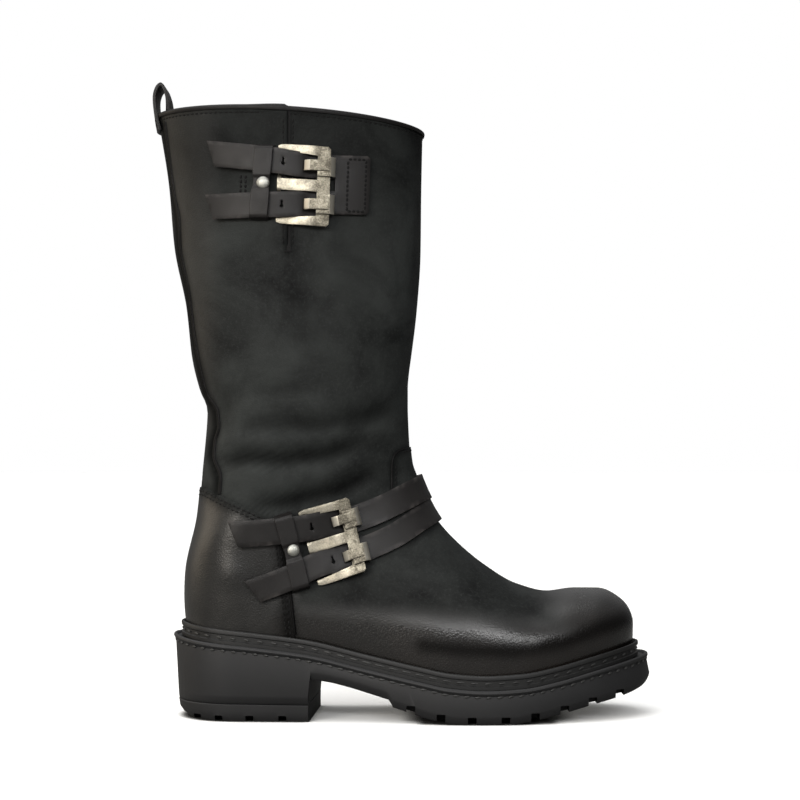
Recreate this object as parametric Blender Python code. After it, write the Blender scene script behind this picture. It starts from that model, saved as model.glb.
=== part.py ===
"""Biker boot for the right foot: a pull-on leather boot with a lugged rubber sole and two double buckles.

Sizes are in millimetres. x runs forward from the sole's back edge, y to the wearer's left, which is the
inner (medial) side, and z up from the floor. The finished part is in metres, with its origin under the
middle of its box.
"""

import math
from collections import namedtuple

import bmesh
import bpy
import numpy as np
from mathutils import Vector
from mathutils.bvhtree import BVHTree

MM = 0.001
GAP = 0.35
ORIGIN_X = 133.4
ORIGIN_Y = 0.4
LATERAL = -1
MEDIAL = 1

# Last: plan outline of the upper at its widest
LAST_BACK = 6.0
LAST_TIP = 269.0
HEEL_ROUND = 33.0
HEEL_POWER = 2.1
TOE_SWING = 4.0
TOE_SWING_START = 150.0
ToeRound = namedtuple("ToeRound", "length power")
TOE_ROUND = {LATERAL: ToeRound(85.0, 2.0), MEDIAL: ToeRound(62.0, 2.2)}
LastWidth = namedtuple("LastWidth", "x lateral medial")
LAST_WIDTHS = [
    LastWidth(39, 32.5, 32.5),
    LastWidth(60, 33.4, 32.6),
    LastWidth(85, 34.4, 32.0),
    LastWidth(110, 37.0, 32.2),
    LastWidth(135, 41.0, 35.2),
    LastWidth(160, 45.0, 39.5),
    LastWidth(184, 46.5, 44.0),
    LastWidth(207, 46.5, 46.0),
    LastWidth(269, 46.5, 46.0),
]
Margin = namedtuple("Margin", "back side tip")
FEATHER = Margin(-3.0, -3.0, -3.0)

# Upper: one leather wall, in sections fanned from the toe over the instep and up the leg
WALL = 2.2
UPPER_SEAT = 0.6
RING_STEP = 9.0
COLUMNS_PER_SIDE = 14
TOP_SHARE = 0.56
SQUARENESS = 2.15
# back_x and back_rise place a section's lower or back end, the rise counted from the heel's feather edge;
# front_x and front_z place its top or front; widest is the height of its widest line as a share of its
# length; lateral and medial are its half widths there; crown lifts its sides.
Section = namedtuple("Section", "back_x back_rise front_x front_z widest lateral medial crown")
SECTIONS = [
    Section(266.0, 0, 267.0, 33.2, 0.25, 0.0, 0.0, 0),
    Section(265.0, 0, 269.6, 45.0, 0.25, 7.6, 10.6, 0),
    Section(261.0, 0, 269.6, 54.0, 0.25, 16.0, 20.8, 0),
    Section(253.0, 0, 266.8, 62.5, 0.25, 24.8, 30.4, 0),
    Section(241.0, 0, 260.5, 69.0, 0.26, 32.8, 38.2, 0),
    Section(227.0, 0, 249.5, 73.2, 0.28, 38.6, 43.0, 0),
    Section(212.0, 0, 235.0, 73.4, 0.32, 42.8, 45.3, 0),
    Section(196.0, 0, 219.0, 71.9, 0.36, 45.6, 46.0, 0),
    Section(178.0, 0, 201.0, 76.3, 0.38, 46.4, 44.0, 0),
    Section(158.0, 0, 183.5, 86.5, 0.37, 45.4, 41.0, 0),
    Section(136.0, 0, 168.5, 98.5, 0.36, 43.0, 37.6, 0),
    Section(100.0, 0, 155.0, 113.0, 0.36, 39.0, 35.0, 0),
    Section(60.0, 0, 147.6, 126.0, 0.33, 36.0, 34.5, 0),
    Section(24.0, 0, 142.2, 138.5, 0.28, 35.0, 34.5, 0),
    Section(13.0, 0, 140.6, 142.5, 0.27, 35.2, 34.8, 0),
    Section(9.0, 0.0, 139.4, 146.0, 0.27, 35.4, 35.0, 0),
    Section(6.3, 17.0, 138.4, 153.0, 0.27, 36.0, 35.5, 0),
    Section(6.6, 37.0, 137.8, 160.0, 0.28, 36.5, 36.0, 0),
    Section(13.8, 69.0, 137.3, 170.0, 0.32, 37.4, 37.0, 0),
    Section(16.6, 97.0, 137.0, 180.0, 0.38, 38.6, 38.2, 0),
    Section(19.4, 130.0, 137.0, 191.0, 0.44, 40.0, 39.6, 0),
    Section(14.8, 144.0, 137.6, 199.0, 0.46, 40.8, 40.4, 0),
    Section(10.4, 162.0, 139.2, 211.0, 0.48, 41.8, 41.4, 0),
    Section(7.0, 192.0, 142.2, 236.0, 0.50, 43.4, 43.0, 0),
    Section(0.0, 227.0, 144.5, 270.0, 0.50, 45.0, 44.6, 0),
    Section(-3.2, 263.0, 144.9, 305.0, 0.50, 45.8, 45.4, 0),
    Section(-9.6, 303.5, 145.6, 340.0, 0.50, 46.4, 46.0, 3),
]
HEEL_ROW = 15

# Sole: its side line, its underside and its wall
SOLE_LENGTH = 279.4
BEAD_RISE = 1.2
SidePoint = namedtuple("SidePoint", "x z")
BEAD_LINE = [
    SidePoint(0, 48.6),
    SidePoint(14, 46.1),
    SidePoint(47, 42.7),
    SidePoint(79, 38.7),
    SidePoint(113, 30.8),
    SidePoint(144, 23.9),
    SidePoint(161, 20.6),
    SidePoint(181, 19.3),
    SidePoint(202, 20.3),
    SidePoint(222, 23.8),
    SidePoint(241, 28.4),
    SidePoint(266, 34.0),
    SidePoint(280, 36.8),
]
WAIST_LINE = [
    SidePoint(80, 24.6),
    SidePoint(92, 23.0),
    SidePoint(105, 19.8),
    SidePoint(113, 17.4),
    SidePoint(127, 13.2),
]
TREAD_LINE = [
    SidePoint(128, 9.4),
    SidePoint(137, 6.6),
    SidePoint(152, 2.2),
    SidePoint(168, 0.0),
    SidePoint(194, 0.0),
    SidePoint(206, 1.6),
    SidePoint(222, 4.9),
    SidePoint(241, 9.4),
    SidePoint(266, 15.0),
    SidePoint(280, 19.5),
]
# The heel's breast: its station along the sole, the x at which it stands upright, its lean and its skew
BREAST = 79.6
BREAST_SLOPE = 1.6
BREAST_X = 82.2
BREAST_SWITCH = 82.0
BREAST_SKEW = 2.15
SKEW_REACH = 34.0
TREAD_START = 128.0
HEEL_LIFT_BACK = 10.4
HEEL_LIFT_FRONT = 9.5
SOLE_STATIONS = [
    0, 0.8, 3, 7, 13, 21, 32, 45, 60, 71, BREAST, BREAST + BREAST_SLOPE, 92, 105, 117, 126.6,
    TREAD_START, 137, 152, 168, 181, 194, 206, 218, 230, 241, 251, 260, 267, 272.5, 276.5, 278.7, SOLE_LENGTH,
]
# How far the outsole and the heel's top piece stand out from the last, from the floor up
SOLE_FOOT = Margin(3.2, 5.0, 8.2)
SOLE_WALL = Margin(3.4, 6.6, 10.4)
SOLE_NECK = Margin(5.4, 6.4, 9.0)
BEAD_SIDE = Margin(6.0, 6.8, 9.2)
BEAD_SHOULDER = Margin(5.6, 6.4, 8.8)
BEAD_TOP = Margin(4.6, 5.4, 7.8)
LEDGE = Margin(3.6, 4.4, 6.8)
LIFT_FOOT = Margin(-0.6, 3.4, 6.0)
LIFT_WALL = Margin(2.2, 4.6, 6.0)
LIFT_TOP = Margin(3.2, 5.0, 6.0)
LIFT_FOOT_RISE = 2.4
WALL_FOOT_RISE = 5.0
NECK_DROP = 5.0
BEAD_SIDE_DROP = 2.2
BEAD_SHOULDER_DROP = 0.5
Lug = namedtuple("Lug", "width depth reach")
SLOT_OVERSHOOT = 6.0
SLOT_OUTER_END = 70.0
SLOT_INNER_LIMIT = 4.0
# Slots run in less far where the tread curls up from the floor
SLOT_CURL = 4.0
SLOT_SHORTEST = 6.5
ON_LAST = Margin(0, 0, 0)
LUG = Lug(5.0, 4.4, 21.0)
FOREFOOT_LUGS_X = [138.5, 155.5, 173.0, 192.0, 208.8, 225.7, 242.2, 258.6]
HEEL_LUG = Lug(4.6, 3.5, 17.0)
HEEL_LUGS_X = [16.0, 28.9, 46.6, 65.4]

# Welt and insole
WELT_HEIGHT = 8.6
WELT_THICKNESS = 2.2
WELT_STEPS_PER_SIDE = 34
WELT_SEAT = 0.65
WELT_GAP = 0.9
WELT_ROUND = 0.9
# Shares of the welt's height at which the upper behind it is measured, and where those rays start and aim
WELT_PROBES = [0.15, 0.25, 0.4, 0.8, 1.2]
WELT_PROBE_START = Margin(30, 30, 30)
WELT_PROBE_AIM = Margin(-9, -9, -9)
WELT_PROBE_LENGTH = 80.0
INSOLE = Margin(-6.6, -6.6, -6.6)
INSOLE_THICKNESS = 4.0

# Straps and the patches of the side wall that carry the buckles
STRAP_WIDTH = 14.2
STRAP_THICKNESS = 2.1
STRAP_STEP = 5.5
FRONT = 0
PatchPlace = namedtuple("PatchPlace", "x z tilt_deg")
SHAFT_PATCH = PatchPlace(78.3, 304.0, -1.8)
INSTEP_PATCH = PatchPlace(94.4, 102.5, 16.0)
STRAP_PITCH = 10.85
SHAFT_TOP_SLOPE = 0.178
SHAFT_SLOPE_START = -8.0
FORK = 17.0
RoutePoint = namedtuple("RoutePoint", "x z side lift")
# lift is the gap between the strap and the upper: over the far bar of the buckle, under the near one
LIFT_SEATED = 0.8
LIFT_UNDER_BAR = 0.55
LIFT_TAIL = 2.6
LIFT_KEEPER = 3.0
LIFT_OVER_BAR = 3.3
StrapStop = namedtuple("StrapStop", "u lift")
SHAFT_STRAP_LIFTS = [
    StrapStop(-55, LIFT_TAIL),
    StrapStop(-29, LIFT_KEEPER),
    StrapStop(-17, LIFT_OVER_BAR),
    StrapStop(-11, LIFT_OVER_BAR),
    StrapStop(10, GAP),
    StrapStop(36, GAP),
]
SHAFT_STRAP_STOPS = [-55, -46, -36, -29, -17, -11, -4, 4, 10, FORK, 24, 30, 36]
INSTEP_UPPER_ROUTE = [
    RoutePoint(35.4, 106.6, LATERAL, LIFT_TAIL),
    RoutePoint(68.2, 109.4, LATERAL, LIFT_KEEPER),
    RoutePoint(76.5, 109.9, LATERAL, LIFT_OVER_BAR),
    RoutePoint(80.5, 110.4, LATERAL, LIFT_OVER_BAR),
    RoutePoint(92.1, 113.4, LATERAL, LIFT_OVER_BAR - 1.6),
    RoutePoint(102.7, 116.2, LATERAL, LIFT_UNDER_BAR),
    RoutePoint(107.5, 117.5, LATERAL, LIFT_UNDER_BAR),
    RoutePoint(126.6, 124.0, LATERAL, LIFT_SEATED),
    RoutePoint(145.0, 133.2, FRONT, LIFT_SEATED),
    RoutePoint(122.0, 124.0, MEDIAL, LIFT_SEATED),
    RoutePoint(96.0, 116.0, MEDIAL, LIFT_SEATED),
    RoutePoint(64.0, 108.0, MEDIAL, LIFT_SEATED),
]
INSTEP_LOWER_ROUTE = [
    RoutePoint(45.7, 73.4, LATERAL, LIFT_TAIL),
    RoutePoint(75.0, 84.2, LATERAL, LIFT_KEEPER),
    RoutePoint(82.4, 87.7, LATERAL, LIFT_OVER_BAR),
    RoutePoint(86.2, 89.2, LATERAL, LIFT_OVER_BAR),
    RoutePoint(97.7, 92.4, LATERAL, LIFT_OVER_BAR - 1.6),
    RoutePoint(108.3, 95.3, LATERAL, LIFT_UNDER_BAR),
    RoutePoint(113.2, 96.6, LATERAL, LIFT_UNDER_BAR),
    RoutePoint(131.0, 105.0, LATERAL, LIFT_SEATED),
    RoutePoint(151.0, 119.0, FRONT, LIFT_SEATED),
    RoutePoint(128.0, 104.6, MEDIAL, LIFT_SEATED),
    RoutePoint(104.0, 94.0, MEDIAL, LIFT_SEATED),
    RoutePoint(72.0, 84.0, MEDIAL, LIFT_SEATED),
]

# Buckles: a frame with two windows, a prong for each strap, a keeper band and a rivet
FRAME_ENDS = (-14.9, 13.7)
FRAME_HALF_HEIGHT = 22.4
NEAR_BAR = 6.6
FAR_BAR = 2.4
MIDDLE_BAR = 6.2
END_BAR = 3.8
NEAR_BAR_HEIGHTS = (3.1, 6.5)
FAR_BAR_HEIGHTS = (0.35, 2.8)
PRONG_HALF_WIDTH = 5.5
PRONG_SLEEVE = (6.1, 15.9)
PRONG_TOP = 8.4
PRONG_WALL = 1.4
PRONG_CHAMFER = 2.2
TONGUE_LAP = 0.5
TONGUE_ON_SLEEVE = 6.0
TONGUE_BEND = 2.0
TONGUE_RISE = 0.5
TONGUE_HALF_WIDTH = 2.9
TONGUE_TIP = -1.1
TONGUE_TIP_HEIGHTS = (4.9, 6.4)
KEEPER_WIDTH = 10.0
KEEPER_THICKNESS = 1.3
KEEPER_OVER = LIFT_OVER_BAR + STRAP_THICKNESS + 2 * GAP
KEEPER_DIP = 0.7
KEEPER_EDGE = 1.1
KEEPER_STEP = 0.6
KEEPER_TOE = 0.9
KEEPER_TOE_RISE = 2.0
KEEPER_SPREAD = 0.9
KeeperPlace = namedtuple("KeeperPlace", "u top bottom")
SHAFT_KEEPER = KeeperPlace(-23.4, 13.7, -10.9)
INSTEP_KEEPER = KeeperPlace(-24.0, 14.1, -12.2)
RIVET_RADIUS = 3.5
RIVET_SEGMENTS = 16
RIVET_SEAT = 0.1
RivetRing = namedtuple("RivetRing", "rise radius")
RIVET_RINGS = [
    RivetRing(0.0, RIVET_RADIUS),
    RivetRing(0.7, RIVET_RADIUS),
    RivetRing(1.5, 0.72 * RIVET_RADIUS),
    RivetRing(2.0, 0.3 * RIVET_RADIUS),
]

# Collar binding and pull loop
BINDING_OVERHANG = 0.7
BINDING_TOP = 1.6
BINDING_DROP = 3.6
BINDING_ROUND = 0.3
BINDING_BELLY = 0.2
LOOP_WIDTH = 24.0
LOOP_THICKNESS = 1.7
LOOP_STEPS = 26
# x and z of the pull loop's outer face, from its end on the back seam, over the top, to its end inside;
# bow is how far its edges curve round the leg
LoopPoint = namedtuple("LoopPoint", "x z bow")
LOOP_ROUTE = [
    LoopPoint(-10.8, 338.0, 2.4),
    LoopPoint(-12.3, 346.0, 1.8),
    LoopPoint(-12.7, 354.0, 0.6),
    LoopPoint(-12.2, 361.5, 0.0),
    LoopPoint(-10.2, 367.4, 0.0),
    LoopPoint(-7.0, 369.8, 0.0),
    LoopPoint(-4.0, 367.0, 0.0),
    LoopPoint(-2.8, 360.0, 0.8),
    LoopPoint(-3.0, 351.0, 2.4),
    LoopPoint(-3.4, 342.0, 2.6),
    LoopPoint(-1.4, 331.0, 2.6),
]

# Finishes: colour, roughness, metallic
Finish = namedtuple("Finish", "colour roughness metallic")
FINISHES = {
    "black_leather": Finish((0.020, 0.020, 0.019), 0.55, 0.0),
    "strap_leather": Finish((0.022, 0.020, 0.019), 0.50, 0.0),
    "sole_rubber": Finish((0.017, 0.017, 0.018), 0.60, 0.0),
    "insole_leather": Finish((0.110, 0.080, 0.055), 0.70, 0.0),
    "aged_nickel": Finish((0.560, 0.530, 0.450), 0.38, 1.0),
    "rivet_nickel": Finish((0.640, 0.640, 0.610), 0.30, 1.0),
}


def place(x, y, z):
    """A point given in millimetres from the sole's back edge, in the part's frame in metres."""
    return Vector(((x - ORIGIN_X) * MM, (y - ORIGIN_Y) * MM, z * MM))


def smooth_curve(xs, ys):
    """A smooth curve through the points that never overshoots them."""
    xs = np.array(xs, float)
    ys = np.array(ys, float)
    runs = np.diff(xs)
    slopes = np.diff(ys) / runs
    tangents = np.zeros(len(xs))
    for i in range(1, len(xs) - 1):
        if slopes[i - 1] * slopes[i] > 0:
            before = 2 * runs[i] + runs[i - 1]
            after = runs[i] + 2 * runs[i - 1]
            tangents[i] = (before + after) / (before / slopes[i - 1] + after / slopes[i])
    tangents[0] = slopes[0]
    tangents[-1] = slopes[-1]

    def value(x):
        i = int(np.clip(np.searchsorted(xs, x) - 1, 0, len(runs) - 1))
        t = min(max((x - xs[i]) / runs[i], 0.0), 1.0)
        rise = ys[i + 1] - ys[i]
        start = runs[i] * tangents[i]
        finish = runs[i] * tangents[i + 1]
        return ys[i] + t * (start + t * (3 * rise - 2 * start - finish + t * (start + finish - 2 * rise)))

    return value


def columns_of(rows, key):
    """One smooth curve for each column of a table, over the column named key or over the row's number."""
    keys = range(len(rows)) if key is None else [getattr(row, key) for row in rows]
    return {name: smooth_curve(keys, [getattr(row, name) for row in rows]) for name in rows[0]._fields}


def smooth_step(x):
    x = min(max(x, 0.0), 1.0)
    return x * x * (3 - 2 * x)


WIDTH_AT = columns_of(LAST_WIDTHS, "x")
SECTION_AT = columns_of(SECTIONS, None)
BEAD_Z = columns_of(BEAD_LINE, "x")["z"]
WAIST_Z = columns_of(WAIST_LINE, "x")["z"]
TREAD_Z = columns_of(TREAD_LINE, "x")["z"]


def ledge_z(x):
    """Height of the sole's top ledge, on which upper, welt and insole stand."""
    return BEAD_Z(x) - BEAD_RISE


def axis_y(x):
    """The foot's own curve: its middle line swings to the inner side at the toe."""
    return TOE_SWING * smooth_step((x - TOE_SWING_START) / (LAST_TIP - TOE_SWING_START))


def half_width(side, x, margin):
    """Half width of the last's plan outline on one side, grown by a margin."""
    base = WIDTH_AT["lateral" if side == LATERAL else "medial"](x) + margin.side
    toe = TOE_ROUND[side]
    heel_start = LAST_BACK + HEEL_ROUND
    toe_start = LAST_TIP - toe.length
    behind = (heel_start - x) / (HEEL_ROUND + margin.back)
    ahead = (x - toe_start) / (toe.length + margin.tip)
    if behind > 0:
        base *= max(1 - behind**HEEL_POWER, 0.0) ** (1 / HEEL_POWER)
    if ahead > 0:
        base *= max(1 - ahead**toe.power, 0.0) ** (1 / toe.power)
    return base


def station_x(station, margin):
    """x of a station that is counted along the sole, on an outline grown by a margin."""
    back = LAST_BACK - margin.back
    tip = LAST_TIP + margin.tip
    return back + (tip - back) * station / SOLE_LENGTH


def outline_point(side, station, margin):
    """x and y on the grown outline, at a station counted along the sole."""
    x = station_x(station, margin)
    return x, axis_y(x) + side * half_width(side, x, margin)


def new_object(name, mesh_data, finish):
    """A named object from a bmesh, shaded smooth away from sharp edges, with its own material."""
    mesh = bpy.data.meshes.new(name)
    bmesh.ops.recalc_face_normals(mesh_data, faces=mesh_data.faces)
    mesh_data.to_mesh(mesh)
    mesh_data.free()
    mesh.shade_smooth()
    mesh.set_sharp_from_angle(angle=math.radians(35))
    obj = bpy.data.objects.new(name, mesh)
    bpy.context.scene.collection.objects.link(obj)
    material = bpy.data.materials.new(name)
    material.use_nodes = True
    shader = material.node_tree.nodes["Principled BSDF"]
    look = FINISHES[finish]
    shader.inputs["Base Color"].default_value = (*look.colour, 1.0)
    shader.inputs["Roughness"].default_value = look.roughness
    shader.inputs["Metallic"].default_value = look.metallic
    mesh.materials.append(material)
    return obj


def loft(loops, closed_ends):
    """A bmesh skin over loops of equal length, with the first and last loop filled where asked."""
    mesh = bmesh.new()
    rows = [[mesh.verts.new(point) for point in loop] for loop in loops]
    count = len(loops[0])
    for row, following in zip(rows, rows[1:]):
        for i in range(count):
            j = (i + 1) % count
            mesh.faces.new((row[i], row[j], following[j], following[i]))
    if closed_ends[0]:
        mesh.faces.new(rows[0][::-1])
    if closed_ends[1]:
        mesh.faces.new(rows[-1])
    bmesh.ops.remove_doubles(mesh, verts=mesh.verts, dist=0.02 * MM)
    bmesh.ops.dissolve_degenerate(mesh, edges=mesh.edges, dist=0.01 * MM)
    return mesh


def sheet_solid(lower, upper, filled):
    """A closed bmesh between two grids of points, over the cells for which filled(i, j) holds."""
    mesh = bmesh.new()
    verts = {}

    def corner(i, j, level):
        if (i, j, level) not in verts:
            verts[i, j, level] = mesh.verts.new((lower, upper)[level][i][j])
        return verts[i, j, level]

    for i in range(len(lower) - 1):
        for j in range(len(lower[0]) - 1):
            if not filled(i, j):
                continue
            ring = [(i, j), (i + 1, j), (i + 1, j + 1), (i, j + 1)]
            mesh.faces.new([corner(a, b, 1) for a, b in ring])
            mesh.faces.new([corner(a, b, 0) for a, b in reversed(ring)])
            beyond = [(i, j - 1), (i + 1, j), (i, j + 1), (i - 1, j)]
            for k, (a, b) in enumerate(beyond):
                inside = 0 <= a < len(lower) - 1 and 0 <= b < len(lower[0]) - 1
                if inside and filled(a, b):
                    continue
                start = ring[k]
                end = ring[(k + 1) % 4]
                mesh.faces.new((corner(*start, 0), corner(*end, 0), corner(*end, 1), corner(*start, 1)))
    return mesh


def upper_point(row, turn):
    """A point on the upper's outer face: row runs from toe to collar, turn from -1 (outer) to 1 (inner)."""
    section = Section(*(SECTION_AT[name](row) for name in Section._fields))
    side = LATERAL if turn < 0 else MEDIAL
    half = section.lateral if side == LATERAL else section.medial
    in_foot = row <= HEEL_ROW
    seat_x = section.back_x if in_foot else SECTIONS[HEEL_ROW].back_x
    back_z = UPPER_SEAT + ledge_z(seat_x) + section.back_rise
    end = half_width(side, section.back_x, FEATHER) if in_foot else 0.0
    share = abs(turn)
    if share <= TOP_SHARE:
        angle = share / TOP_SHARE * math.pi / 2
        along = section.widest + (1 - section.widest) * math.cos(angle) ** (2 / SQUARENESS)
        out = half * math.sin(angle) ** (2 / SQUARENESS)
    else:
        angle = (share - TOP_SHARE) / (1 - TOP_SHARE) * math.pi / 2
        along = section.widest * (1 - math.sin(angle))
        out = end + (half - end) * max(math.cos(angle), 0.0)
    x = section.back_x + (section.front_x - section.back_x) * along
    z = back_z + (section.front_z - back_z) * along
    z += section.crown * (out / half) ** 2 if half else 0.0
    return place(x, axis_y(x) + side * out, z)


def upper_rows():
    """Rows of the upper's skin: the tabled sections, with more between those that lie far apart."""
    rows = []
    for i, (here, there) in enumerate(zip(SECTIONS, SECTIONS[1:])):
        front = math.hypot(there.front_x - here.front_x, there.front_z - here.front_z)
        back = math.hypot(there.back_x - here.back_x, there.back_rise - here.back_rise)
        steps = max(1, round(max(front, 0.6 * back) / RING_STEP))
        rows += [i + k / steps for k in range(steps)]
    return rows + [len(SECTIONS) - 1]


def upper_skin():
    """The upper's outer face as an open bmesh, in one piece from the toe to the collar."""
    mesh = bmesh.new()
    turns = [k / COLUMNS_PER_SIDE for k in range(-COLUMNS_PER_SIDE, COLUMNS_PER_SIDE + 1)]
    grid = [[mesh.verts.new(upper_point(row, turn)) for turn in turns] for row in upper_rows()]
    for row, following in zip(grid, grid[1:]):
        for i in range(len(turns) - 1):
            mesh.faces.new((row[i], row[i + 1], following[i + 1], following[i]))
    bmesh.ops.remove_doubles(mesh, verts=mesh.verts, dist=0.05 * MM)
    bmesh.ops.dissolve_degenerate(mesh, edges=mesh.edges, dist=0.02 * MM)
    bmesh.ops.recalc_face_normals(mesh, faces=mesh.faces)
    highest = max(mesh.faces, key=lambda face: face.calc_center_median().y)
    if highest.normal.y < 0:
        bmesh.ops.reverse_faces(mesh, faces=mesh.faces)
    mesh.normal_update()
    return mesh


def build_upper(skin):
    """The hollow upper: the skin given its wall thickness inwards, open at the collar and underneath."""
    obj = new_object("upper", skin, "black_leather")
    wall = obj.modifiers.new("wall", "SOLIDIFY")
    wall.thickness = WALL * MM
    wall.offset = -1
    wall.use_even_offset = True
    wall.use_rim = True
    return obj


def skew(side, x, margin):
    """How far the sole near the heel's breast moves, so that the breast stands upright and runs askew."""
    fade = smooth_step(1 - abs(x - BREAST) / SKEW_REACH)
    share = min(half_width(side, x, margin) / LAST_WIDTHS[0].lateral, 1.0)
    lean = BREAST_X - station_x(BREAST, margin)
    return (side * share * BREAST_SKEW + lean) * fade


def ladder(levels, stations):
    """A closed bmesh of a sole layer: cross loops at stations, each through the levels and across."""
    loops = []
    for station in stations:
        halves = {}
        for side in (LATERAL, MEDIAL):
            half = []
            for margin, height, skewed in levels:
                x, y = outline_point(side, station, margin)
                shift = skew(side, x, margin) if skewed else 0.0
                half.append(place(x + shift, y, height(x)))
            halves[side] = half
        loops.append(halves[LATERAL] + halves[MEDIAL][::-1])
    return loft(loops, (True, True))


def lift_top(x):
    """Height of the line between the heel's top piece and the heel block."""
    return HEEL_LIFT_BACK + (HEEL_LIFT_FRONT - HEEL_LIFT_BACK) * x / BREAST_X


def sole_underside(x):
    if x <= BREAST_SWITCH:
        return lift_top(x) + GAP
    return WAIST_Z(x) if x < TREAD_START - 0.7 else TREAD_Z(x)


def lug_cutters(name, places, lug, underside):
    """Slots cut into the tread from both edges, joined as one cutter."""
    mesh = bmesh.new()
    for x in places:
        for side in (LATERAL, MEDIAL):
            reach = max(lug.reach / (1 + underside(x) / SLOT_CURL), SLOT_SHORTEST)
            inner = axis_y(x) + side * max(half_width(side, x, ON_LAST) - reach, SLOT_INNER_LIMIT)
            outer = side * SLOT_OUTER_END
            low = underside(x) - SLOT_OVERSHOOT
            high = underside(x) + lug.depth
            box = bmesh.ops.create_cube(mesh, size=1.0)["verts"]
            for vert in box:
                vert.co = place(
                    x + vert.co.x * lug.width,
                    (inner + outer) / 2 + vert.co.y * abs(outer - inner),
                    (low + high) / 2 + vert.co.z * (high - low),
                )
    cutter = new_object(name, mesh, "sole_rubber")
    cutter.hide_render = True
    cutter.display_type = "WIRE"
    return cutter


def cut(obj, cutter):
    change = obj.modifiers.new("lugs", "BOOLEAN")
    change.operation = "DIFFERENCE"
    change.solver = "EXACT"
    change.object = cutter


def build_outsole():
    """The rubber unit: forefoot, waist and heel block in one, with a bead along its top edge."""
    levels = [
        (SOLE_FOOT, sole_underside, True),
        (SOLE_WALL, lambda x: sole_underside(x) + WALL_FOOT_RISE, True),
        (SOLE_NECK, lambda x: BEAD_Z(x) - NECK_DROP, False),
        (BEAD_SIDE, lambda x: BEAD_Z(x) - BEAD_SIDE_DROP, False),
        (BEAD_SHOULDER, lambda x: BEAD_Z(x) - BEAD_SHOULDER_DROP, False),
        (BEAD_TOP, BEAD_Z, False),
        (LEDGE, ledge_z, False),
    ]
    outsole = new_object("outsole", ladder(levels, SOLE_STATIONS), "sole_rubber")
    cut(outsole, lug_cutters("forefoot_slots", FOREFOOT_LUGS_X, LUG, TREAD_Z))
    return outsole


def build_heel_lift():
    """The heel's top piece, which stands on the floor."""
    levels = [
        (LIFT_FOOT, lambda x: 0.0, True),
        (LIFT_WALL, lambda x: LIFT_FOOT_RISE, True),
        (LIFT_TOP, lift_top, True),
    ]
    stations = [x for x in SOLE_STATIONS if x <= BREAST]
    lift = new_object("heel_lift", ladder(levels, stations), "sole_rubber")
    cut(lift, lug_cutters("heel_slots", HEEL_LUGS_X, HEEL_LUG, lambda x: 0.0))
    return lift


def build_insole():
    levels = [
        (INSOLE, lambda x: ledge_z(x) + GAP, False),
        (INSOLE, lambda x: ledge_z(x) + GAP + INSOLE_THICKNESS, False),
    ]
    return new_object("insole", ladder(levels, SOLE_STATIONS), "insole_leather")


def build_welt(surface):
    """The rand: a band round the foot of the upper, standing on the sole's ledge."""
    stations = []
    for k in range(WELT_STEPS_PER_SIDE + 1):
        stations.append(SOLE_LENGTH * (1 - math.cos(math.pi * k / WELT_STEPS_PER_SIDE)) / 2)
    ring = [(LATERAL, s) for s in stations] + [(MEDIAL, s) for s in reversed(stations[1:-1])]
    loops = []
    for side, station in ring:
        outside = Vector((*outline_point(side, station, WELT_PROBE_START), 0))
        inside = Vector((*outline_point(side, station, WELT_PROBE_AIM), 0))
        inward = (inside - outside).normalized()
        foot = ledge_z(outline_point(side, station, ON_LAST)[0])
        reach = []
        for share in WELT_PROBES:
            start = place(outside.x, outside.y, foot + WELT_HEIGHT * share)
            hit = surface.ray_cast(start, inward, WELT_PROBE_LENGTH * MM)
            reach.append((hit[0] - start).length / MM)
        inner = min(reach) - WELT_GAP
        profile = [
            (0.0, 0.0), (WELT_THICKNESS, 0.0), (WELT_THICKNESS, WELT_HEIGHT - WELT_ROUND),
            (0.6 * WELT_THICKNESS, WELT_HEIGHT), (0.0, WELT_HEIGHT),
        ]
        loop = []
        for out, rise in profile:
            spot = outside + inward * (inner - out)
            loop.append(place(spot.x, spot.y, ledge_z(spot.x) + WELT_SEAT + rise))
        loops.append(loop)
    return new_object("welt", loft(loops + loops[:1], (False, False)), "sole_rubber")


class Patch:
    """A patch of the upper's outer side: u runs forward along the straps, v up across them, n outwards."""

    def __init__(self, surface, spot):
        self.surface = surface
        self.spot = spot
        tilt = math.radians(spot.tilt_deg)
        self.along = (math.cos(tilt), math.sin(tilt))

    def on_skin(self, x, z):
        start = place(x, -200.0, z)
        return self.surface.ray_cast(start, Vector((0, 1, 0)))[0]

    def point(self, u, v, n):
        cos, sin = self.along
        x = self.spot.x + u * cos - v * sin
        z = self.spot.z + u * sin + v * cos
        probe = 3.0
        ahead = self.on_skin(x + probe, z) - self.on_skin(x - probe, z)
        above = self.on_skin(x, z + probe) - self.on_skin(x, z - probe)
        return self.on_skin(x, z) + ahead.cross(above).normalized() * n * MM

    def prism(self, profile, v_low, v_high):
        """A closed bmesh: a profile of u and n, drawn across from one v to another."""
        loops = [[self.point(u, v, n) for u, n in profile] for v in (v_low, v_high)]
        return loft(loops, (True, True))


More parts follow.
